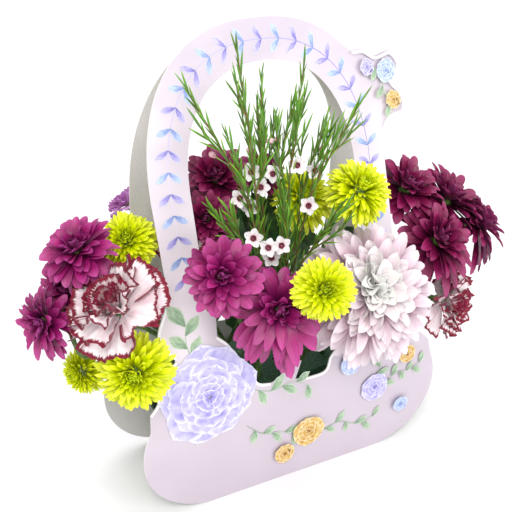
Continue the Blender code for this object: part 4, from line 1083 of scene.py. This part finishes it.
# Stems: node, foot in the foam, the heads it carries, and its leaves: route, point, tip, width.
STEMS = (
    ("stem_purple_left", (-58, 14), ("mum_purple_left_top", "mum_purple_left_mid", "mum_purple_left_low"),
     ((0, 5, (-114, 6, 170), 17), (1, 4, (-112, 30, 126), 18))),
    ("stem_lime_left", (-63, -6), ("mum_lime_left_low", "mum_lime_left_side"), ((0, 3, (-98, -14, 92), 16),)),
    ("stem_lime_left_top", (-48, 4), ("mum_lime_left_top",), ((0, 4, (-72, 22, 152), 15),)),
    ("stem_carnation_left", (-52, -16), ("carnation_left",), ()),
    ("stem_carnation_back", (-42, 25), ("carnation_back",), ((0, 4, (-30, 34, 132), 15),)),
    ("stem_carnation_inner", (-33, 12), ("carnation_inner",),
     ((0, 3, (-26, 16, 204), 34), (0, 2, (-12, 10, 190), 32))),
    ("stem_purple_front", (-24, -20), ("mum_purple_front_left", "mum_purple_front_mid"),
     ((0, 2, (-50, -36, 122), 18), (1, 3, (-40, -30, 140), 20), (1, 2, (-21, -36, 112), 15),
      (0, 4, (-72, -10, 136), 16))),
    ("stem_purple_back", (-16, 20), ("mum_purple_back_left", "mum_purple_back_low", "mum_purple_back_mid"),
     ((0, 4, (-40, 34, 168), 18), (2, 4, (14, 36, 150), 18), (2, 3, (-14, 22, 222), 36),
      (2, 2, (2, 20, 208), 36), (0, 3, (-32, 20, 216), 34))),
    ("stem_lime_front", (-6, -24), ("mum_lime_front",), ((0, 2, (14, -36, 112), 15),)),
    ("stem_lime_right", (22, 8), ("mum_lime_mid", "mum_lime_right"),
     ((0, 4, (38, 34, 148), 18), (1, 6, (56, 12, 188), 15), (0, 3, (4, 8, 190), 34),
      (0, 4, (30, 20, 190), 34))),
    ("stem_pink", (34, -14), ("mum_pink_large",), ((0, 2, (22, -34, 120), 17), (0, 3, (62, -14, 112), 17))),
    ("stem_purple_right", (56, 8), ("mum_purple_right_back", "mum_purple_right_top", "mum_purple_right_front",
                                    "mum_purple_right_far"),
     ((0, 4, (76, 32, 160), 18), (3, 5, (142, 26, 128), 18))),
    ("stem_carnation_right", (62, -10), ("carnation_right",), ((0, 3, (94, -28, 112), 15),)),
)


def stem_path(foot, head, facing, bulb, via, steps=3):
    """From the foot of its hole straight up out of the foam, then in a bend to the back of the head."""
    fx, fy = foot
    away = axes(facing)[2]
    back = np.array(head, float) - away * bulb
    neck = back - away * 6.0
    bend = back - away * min(34.0, 0.30 * hypot(back[0] - fx, back[2] - FOAM_TOP) + 10.0)
    out = (fx + 0.04 * (back[0] - fx), fy + 0.04 * (back[1] - fy), FOAM_TOP + 10.0)
    above = [out, *via, neck] if via else [out, bend, neck]
    return [np.array(p, float) for p in ((fx, fy, FOAM_TOP - STEM_DEPTH + 1.0), (fx, fy, FOAM_TOP + 1.0),
                                         *spline(above, steps), back)]


def lobed_leaf(shape, root, tip, width, slot, rng):
    """A mum's leaf: lobed and toothed, folded a little along its rib."""
    root, tip = np.array(root, float), np.array(tip, float)
    t, s = np.linspace(0, 1, 22), np.linspace(-1, 1, 9)
    along = tip - root
    length = np.linalg.norm(along)
    side = np.cross(along, (0.15, -0.5, 0.85))
    side /= np.linalg.norm(side)
    up = np.cross(side, along) / length
    cut = 0.72 + 0.28 * np.abs(np.sin(pi * LOBES * t)) ** 0.7 + 0.05 * np.sin(9 * pi * t)
    half = width / 2 * swell(t, 0.10, 0.45, 0.85) * cut
    half[t < 0.16] = 0.05 * width
    rise = LEAF_DROOP * length * 4 * t * (1 - t) + 0.03 * length * np.sin(5 * t + rng.uniform(0, 3))
    lift = (rise[:, None] + 0.30 * half[:, None] * np.abs(s)
            + 0.08 * half[:, None] * np.sin(2 * pi * LOBES * t)[:, None] * s ** 2)
    grid = (root + along * (t[:, None, None] + 0.05 * np.abs(s)[None, :, None])
            + side * (half[:, None] * s)[..., None] + up * lift[..., None])
    shape.leaf(grid[:, ::-1], LEAF_THICK, slot, along=t[:, None], across=-s[None, :], tone=rng.uniform(),
               rim=1.0)


def stems(materials):
    """The stems, each with its branches to its heads and its leaves."""
    heads = {name: (centre, facing, BULB[kind] * radius + TOUCH)
             for name, kind, centre, facing, radius in HEADS}
    for number, (name, foot, carried, leaves) in enumerate(STEMS):
        rng = np.random.default_rng(400 + number)
        shape = Shape()
        knots = []
        for head in carried:
            via = WAYPOINTS.get(head, ())
            knots.append(stem_path(foot, *heads[head], via))
            route = stem_path(foot, *heads[head], via, steps=9)
            radii = 1.7 + 0.12 * np.sin(np.arange(len(route)) * 1.3)
            radii[-3:] = (1.8, 2.1, 2.6)
            shape.tube(route, radii, STEM_SIDES, tone=rng.uniform(0.3, 0.7), across=1.0)
        for route, point, tip, width in leaves:
            lobed_leaf(shape, knots[route][point], tip, width, 1, rng)
        place(shape.object(name + "_green", (materials["stalk"], materials["leaf"])), "stem", name)


# Waxflower sprays: node, foot, twigs, blossoms and buds.
WAXFLOWERS = (
    ("waxflower_left", (-22, -4),
     (((-29, -22, 190), (-42, -24, 240), (-76, -16, 308)),
      ((-27, -22, 190), (-35, -24, 260), (-44, -18, 330)),
      ((-34, -28, 182), (-46, -36, 206), (-55, -36, 222))),
     ((-40, -18, 230), (-40, -38, 210), (-31, -42, 203), (-32, -18, 222)), ((-57, -12, 261),)),
    ("waxflower_back", (-12, 4),
     (((-16, -8, 190), (-19, -6, 245), (-21, -8, 305)), ((-15, -2, 190), (-13, 2, 235), (-12, 4, 262))),
     ((-28, -10, 243), (-23, -14, 233), (-13, -12, 240)), ((-26, -4, 256), (-16, -12, 264))),
    ("waxflower_mid", (-2, -6),
     (((-6, -22, 190), (-3, -18, 245), (7, -12, 309)), ((-5, -14, 190), (-3, -4, 240), (8, 0, 280)),
      ((-9, -30, 178), (-12, -34, 200), (-10, -30, 214))),
     ((2, -18, 246), (-20, -40, 201), (-24, -34, 190)), ((-8, -8, 262),)),
    ("waxflower_right", (8, 2),
     (((4, -22, 190), (13, -27, 236), (42, -25, 283)), ((6, -14, 190), (12, -14, 232), (27, -10, 267)),
      ((-4, -33, 172), (2, -46, 198), (7, -56, 218))),
     ((4, -32, 222), (16, -19, 240)), ((22, -16, 254),)),
)
NEEDLE = 16.5                   # length of the longest needles
NEEDLE_RADII = (0.42, 0.70, 0.82, 0.78, 0.56, 0.08)
OPENING = radians(13)           # between a needle and its twig
SIDE_TWIG = 46.0                # length of the lowest side twigs
SIDE_SPOTS = (0.55, 0.68, 0.80) # where they leave a main twig, as shares of its length
# Main twigs and side twigs: space between needles, thickness, and the bare share at the foot.
MAIN, SIDE = (3.7, 1.15, 0.42), (3.2, 0.6, 0.10)


def twig_tree():
    """Clothes a twig with needles in a spiral, from its bare foot to its tip."""
    tree = node_tree("needled_twig", Geometry="Geometry", Spacing="Float", Opening="Float", Bare="Float",
                     Thickness="Float", Seed="Int", Needle="Object", Bark="Material", Finish="Material")
    given = add(tree, "NodeGroupInput").node.outputs
    path = add(tree, "GeometryNodeMeshToCurve", {0: given["Geometry"]})
    share = add(tree, "GeometryNodeSplineParameter")
    taper = add(tree, RANGE, {"Value": share, "To Min": 1.0, "To Max": 0.4})
    taper = add(tree, MATH, {0: taper, 1: given["Thickness"]}, operation="MULTIPLY")
    ring = add(tree, "GeometryNodeCurvePrimitiveCircle", {"Resolution": 6, "Radius": 1.0})
    bark = add(tree, "GeometryNodeCurveToMesh", {"Curve": path, "Profile Curve": ring, "Scale": taper,
                                                 "Fill Caps": True})
    bark = add(tree, SET_MATERIAL, {"Geometry": bark, "Material": given["Bark"]})
    spots = add(tree, "GeometryNodeResampleCurve", {"Curve": path, "Length": given["Spacing"]}, mode="LENGTH")
    leafy = add(tree, MATH, {0: share, 1: given["Bare"]}, operation="GREATER_THAN")
    tangent = add(tree, "GeometryNodeInputTangent")
    heading = add(tree, "FunctionNodeAlignRotationToVector", {"Vector": tangent}, axis="Z")
    opening = add(tree, RANDOM, {2: 0.7, 3: 1.25, "Seed": given["Seed"]}, out=1)
    opening = add(tree, MATH, {0: opening, 1: given["Opening"]}, operation="MULTIPLY")
    closing = add(tree, RANGE, {"Value": share, "From Min": 0.5, "To Min": 1.15, "To Max": 0.45})
    opening = add(tree, MATH, {0: opening, 1: closing}, operation="MULTIPLY")
    spiral = add(tree, MATH, {0: add(tree, "GeometryNodeInputIndex"), 1: GOLDEN_TURN}, operation="MULTIPLY")
    lean = add(tree, TO_ROTATION, {0: add(tree, COMBINE, {"Y": opening, "Z": spiral})})
    turn = add(tree, "FunctionNodeRotateRotation", {"Rotation": heading, "Rotate By": lean},
               rotation_space="LOCAL")
    size = add(tree, RANDOM, {2: 0.62, 3: 1.1, "Seed": given["Seed"]}, out=1)
    shape = add(tree, "GeometryNodeObjectInfo", {"Object": given["Needle"], "As Instance": True},
                out="Geometry")
    needles = add(tree, "GeometryNodeInstanceOnPoints", {"Points": spots, "Selection": leafy,
                                                         "Instance": shape, "Rotation": turn, "Scale": size})
    tone = add(tree, RANDOM, {2: 0.0, 3: 1.0, "Seed": given["Seed"]}, out=1)
    for label, value in (("tone", tone), ("layer", share)):
        needles = add(tree, STORE, {"Geometry": needles, "Name": label, "Value": value}, domain="INSTANCE")
    needles = add(tree, SET_MATERIAL, {"Geometry": add(tree, REALIZE, {0: needles}),
                                       "Material": given["Finish"]})
    add(tree, "NodeGroupOutput", {0: add(tree, "GeometryNodeJoinGeometry", {0: [bark, needles]})})
    return tree


def needle_form():
    """One waxflower needle, pointing up: a narrow three-sided blade that bends a little."""
    shape = Shape()
    heights = np.linspace(0, 1, len(NEEDLE_RADII))
    shape.tube([(0.06 * NEEDLE * h * h, 0.0, NEEDLE * h) for h in heights], NEEDLE_RADII, 3)
    return shape.object("needle", (), linked=False)


def twig_paths(foot, twigs):
    """Each main twig's path, and side twigs that leave it on several sides, with the measures of each."""
    fx, fy = foot
    paths = []
    for number, twig in enumerate(twigs):
        upper = spline([(fx, fy, FOAM_TOP + 14.0), *twig], 8)
        lower = [np.array((fx, fy, FOAM_TOP - STEM_DEPTH + 1.0)), np.array((fx, fy, FOAM_TOP + 1.0))]
        paths.append((lower + upper, MAIN))
        for k, share in enumerate(SIDE_SPOTS):
            spot = int(share * (len(upper) - 1))
            here = upper[spot]
            u, _, w = axes(upper[spot + 1] - here, 1.3 * number + 2.2 * k)
            reach = SIDE_TWIG * (1.0 - 0.25 * k)
            bend = [here, here + (0.17 * u + 0.5 * w) * reach, here + (0.20 * u + w) * reach]
            paths.append((spline(bend, 4), SIDE))
    return paths


def waxflowers(materials):
    """The waxflower sprays: their needled twigs as one piece each, and their blossoms and buds as another."""
    tree, needle = twig_tree(), needle_form()
    for number, (name, foot, twigs, flowers, buds) in enumerate(WAXFLOWERS):
        paths = twig_paths(foot, twigs)
        pieces = []
        for k, (path, (spacing, thickness, bare)) in enumerate(paths):
            mesh = bpy.data.meshes.new(f"{name}_twig_{k}")
            mesh.from_pydata([(p * MM).tolist() for p in np.array(path)],
                             [(i, i + 1) for i in range(len(path) - 1)], [])
            twig = bpy.data.objects.new(f"{name}_twig_{k}", mesh)
            bpy.context.scene.collection.objects.link(twig)
            grow(twig, tree, Spacing=spacing * MM, Opening=OPENING, Bare=bare, Thickness=thickness * MM,
                 Seed=10 * number + k, Needle=needle, Bark=materials["twig"], Finish=materials["needle"])
            pieces.append(twig)
        place(joined(name + "_needles", pieces), "needle", name)
        rng = np.random.default_rng(70 + number)
        ways = [path for path, measures in paths if measures == MAIN]
        shape = Shape()
        for centre in flowers:
            wax_blossom(shape, centre, ways, rng)
        for centre in buds:
            wax_bud(shape, centre, ways, rng)
        finishes = [materials[key] for key in ("wax_petal", "wax_cup", "wax_bud", "needle")]
        place(shape.object(name + "_blossoms", finishes), "needle")
    bpy.data.objects.remove(needle)


def nearest(ways, spot, below):
    """The point of the twigs that is nearest to a place a little below a flower."""
    spot = np.array(spot, float) - (0, 0, below)
    return min((p for way in ways for p in way), key=lambda p: np.linalg.norm(p - spot))


PETAL, CUP, BUD, STALK = range(4)
WAX_CUP = ((0.0, -3.4), (0.9, -3.3), (1.5, -2.0), (2.0, 0.0), (2.1, 0.9), (1.7, 1.1), (1.0, 0.5), (0.0, 0.4))
WAX_BUD = ((0.0, -2.6), (0.9, -2.4), (1.5, -1.2), (1.9, 0.2), (1.8, 1.4), (1.1, 2.4), (0.0, 2.8))
WAX_THICK, STAMENS = 0.35, 10


def wax_blossom(shape, centre, ways, rng):
    """A waxflower: five round waxy petals about a dark nectar cup with ten short stamens."""
    centre = np.array(centre, float)
    facing = np.array((-0.42, -0.75, 0.5)) + rng.uniform(-0.25, 0.25, 3)
    frame_axes = axes(facing, rng.uniform(0, 1.2))
    u, v, w = frame_axes
    t, s = np.linspace(0, 1, 7), np.linspace(-1, 1, 7)
    half = 2.6 * np.sin(pi * (0.04 + 0.84 * t)) ** 0.6
    for k in range(5):
        grid = np.stack((1.6 + 5.0 * t[:, None] - 0.9 * (s ** 2)[None, :] * t[:, None], half[:, None] * s,
                         t[:, None] ** 1.5 + 0.16 * half[:, None] * s ** 2 + rng.uniform(-0.1, 0.1)), axis=-1)
        shape.leaf(set_in(grid, centre, frame_axes, 2 * pi * k / 5, 0.0, 0.6), WAX_THICK, PETAL,
                   along=t[:, None], across=s[None, :], tone=rng.uniform())
    shape.turned(WAX_CUP, centre, facing, SIDES, CUP, tone=0.5)
    for k in range(STAMENS):
        a = 2 * pi * k / STAMENS
        away = cos(a) * u + sin(a) * v
        shape.tube([centre + out * away + up * w for out, up in ((1.8, 0.7), (1.8, 1.8), (1.3, 2.3))],
                   (0.18, 0.16, 0.26), 5, CUP, tone=0.9)
    root = nearest(ways, centre, 10.0)
    stalk(shape, [root, (root + centre) / 2 + (0, 0, 1.5), centre - 3.2 * w], 4, 0.45)


def stalk(shape, points, steps, radius):
    """A thin green stalk from a twig to a blossom or a bud."""
    path = spline(points, steps)
    shape.tube(path, [radius] * len(path), 5, STALK, layer=0.5, tone=0.4)


def wax_bud(shape, centre, ways, rng):
    """A closed pink bud on its stalk."""
    centre = np.array(centre, float)
    root = nearest(ways, centre, 8.0)
    facing = centre - root + rng.uniform(-1, 1, 3)
    shape.turned(WAX_BUD, centre, facing, 12, BUD, tone=rng.uniform())
    stalk(shape, [root, (root + centre) / 2, centre - 2.4 * axes(facing)[2]], 3, 0.4)


# ---- the whole object ----

def living_materials():
    """The finish of every part that grew, by its own key."""
    return {
        # Purple: near black at the root and dark in the heart, as painted shade deep in the head, with a
        # paler underside.
        "purple": mum_petal("purple_mum_petal", ((0.0, "#440430"), (0.3, "#84105C"), (0.7, "#A41A6E"),
                                                 (1.0, "#BE4292")), "#9A4488", "#5C0A42", 7.0, 0.3),
        # The purple made darker and a little redder: painted shade for the heads in the shade of the others.
        "shaded_purple": mum_petal("shaded_purple_mum_petal",
                                 ((0.0, "#2C0518"), (0.4, "#660A3A"), (0.75, "#88124E"), (1.0, "#A4346E")),
                                 "#86386A", "#3A0824", 7.0, 0.3),
        "lime": mum_petal("lime_mum_petal", ((0.0, "#BCCC00"), (0.35, "#DCEA00"), (0.75, "#ECF600"),
                                             (1.0, "#F8FF40")), "#DCE810", "#A8CC00", 5.0, 0.15),
        # Pink: pinker towards the root, as the petals are, and darker there as painted shade in the gaps
        # between them.
        "pink": mum_petal("pink_mum_petal", ((0.0, "#AC648E"), (0.3, "#C998B2"), (0.65, "#DFBFCE"),
                                             (1.0, "#F4E8EE")), "#D8B8C8", "#FFFFFC", 6.0, 0.1, 0.45, 0.08),
        "carnation": carnation_petal("carnation_petal", "#FFFAFA", "#F6E0E7", "#7C062A", "#9A1440", 6.5),
        "lilac": carnation_petal("lilac_carnation_petal", "#D9A8D8", "#C880C8", "#B070B4", "#A050A8", 1.2),
        "calyx": green("mum_calyx", ("#3E5A24", "#55752F", "#7C9A48"), "#8DA85A"),
        "stalk": green("mum_stem", ("#3B5526", "#4E6E30", "#6C8A40"), "#8DA85A", 0.5, 3.0),
        "leaf": green("mum_leaf", ("#1E3A1C", "#2C5226", "#3E6A30"), "#6C9050", 0.45, 5.0),
        "needle": needle_skin(),
        "twig": green("waxflower_twig", ("#6A6A2C", "#806A38", "#8A5A3A"), "#806A38", 0.6, 3.0),
        "wax_petal": mum_petal("waxflower_petal", ((0.0, "#EBC8D2"), (0.35, "#F7EEF0"), (1.0, "#FDFBFA")),
                               "#F2DDE2", "#FDFBFA", 4.0, 0.1),
        "wax_cup": green("waxflower_cup", ("#4A0A20", "#6A1230", "#8A2440"), "#6A1230", 0.35, 2.0),
        "wax_bud": green("waxflower_bud", ("#C8788C", "#E2A8B4", "#F0CFD4"), "#E2A8B4", 0.4, 2.0),
    }


def needle_skin():
    """Waxflower needle, grown: a glossy cuticle, deep green at the root and bright yellow green on young
    tips."""
    made, tree, shader = start("waxflower_needle", roughness=0.38, subsurface_weight=0.06,
                               subsurface_scale=0.001, specular_ior_level=0.5)
    height, along, tone = (add(tree, ATTRIBUTE, out="Fac", attribute_name=label)
                           for label in ("layer", "along", "tone"))
    young = add(tree, MATH, {0: height, 1: 2.5}, operation="POWER")
    young = add(tree, MATH, {0: young, 1: 2.0, 2: along}, operation="MULTIPLY_ADD")
    young = add(tree, MATH, {0: add(tree, MATH, {0: young, 1: tone}), 1: 0.27}, operation="MULTIPLY")
    skin = add(tree, RAMP, {"Fac": young}, stops=((0.05, "#3E6620"), (0.35, "#5E9424"), (0.6, "#98C834"),
                                                  (0.9, "#D2EC5E")))
    cells = add(tree, NOISE, {"Vector": add(tree, PLACE, out="Object"), "Scale": 700.0})
    finish(tree, shader, skin, cells, 0.05)
    return made


def foam_and_tray():
    """The finish of the two pieces that hold the stems."""
    # Tray: dark green polypropylene, moulded with a soft gloss.
    dress("foam_tray", mottled("moulded_polypropylene_tray", ((0.3, "#12301F"), (0.7, "#183C28")), 8.0, 0.03,
                               roughness=0.32))
    # Foam: wet floral foam, a dark crumbly green with open cells about 1 mm across.
    dress("foam_block", mottled("wet_floral_foam", ((0.3, "#1B3A26"), (0.5, "#2A5236"), (0.72, "#3C6A48")),
                                2.0, 0.4, roughness=0.7))


def floor():
    """A wide sheet of pale paper just under the part."""
    bm = bmesh.new()
    bmesh.ops.create_grid(bm, x_segments=8, y_segments=8, size=3.0)
    mesh = bpy.data.meshes.new("studio_floor")
    bm.to_mesh(mesh)
    bm.free()
    # Seamless studio paper: matte white with a faint grain.
    mesh.materials.append(mottled("studio_paper", ((0.3, "#F6F6F7"), (0.7, "#FAFAFA")), 40.0, 0.0,
                                  roughness=0.9, specular_ior_level=0.1))
    made = bpy.data.objects.new("studio_floor", mesh)
    made.location.z = -0.0005
    bpy.context.scene.collection.objects.link(made)


def studio_light():
    """A white cyclorama: even light all round, with soft boxes to the upper left, in front and above."""
    world = bpy.data.worlds.new("studio")
    world.use_nodes = True
    world.node_tree.nodes["Background"].inputs["Color"].default_value = colour("#FFFFFF")
    world.node_tree.nodes["Background"].inputs["Strength"].default_value = 0.66
    bpy.context.scene.world = world
    bpy.context.scene.view_settings.view_transform = "Standard"
    area_light("key", (-0.8, -1.1, 1.6), (0, 0, 0.15), 0.8, 18.0, "#FFFDFA")
    area_light("fill", (0.5, -1.5, 0.8), (0, 0, 0.15), 1.2, 12.0, "#FBFCFF")
    area_light("top", (0.5, 1.2, 3.0), (0.3, 0.8, 0.0), 4.0, 52.0, "#FFFFFF")


camera()
studio_light()
floor()
panels()
print_work = inks()
printed_front(print_work)
arch_border(print_work)
grown = living_materials()
mums(grown)
carnations(grown)
stems(grown)
waxflowers(grown)
foam_and_tray()
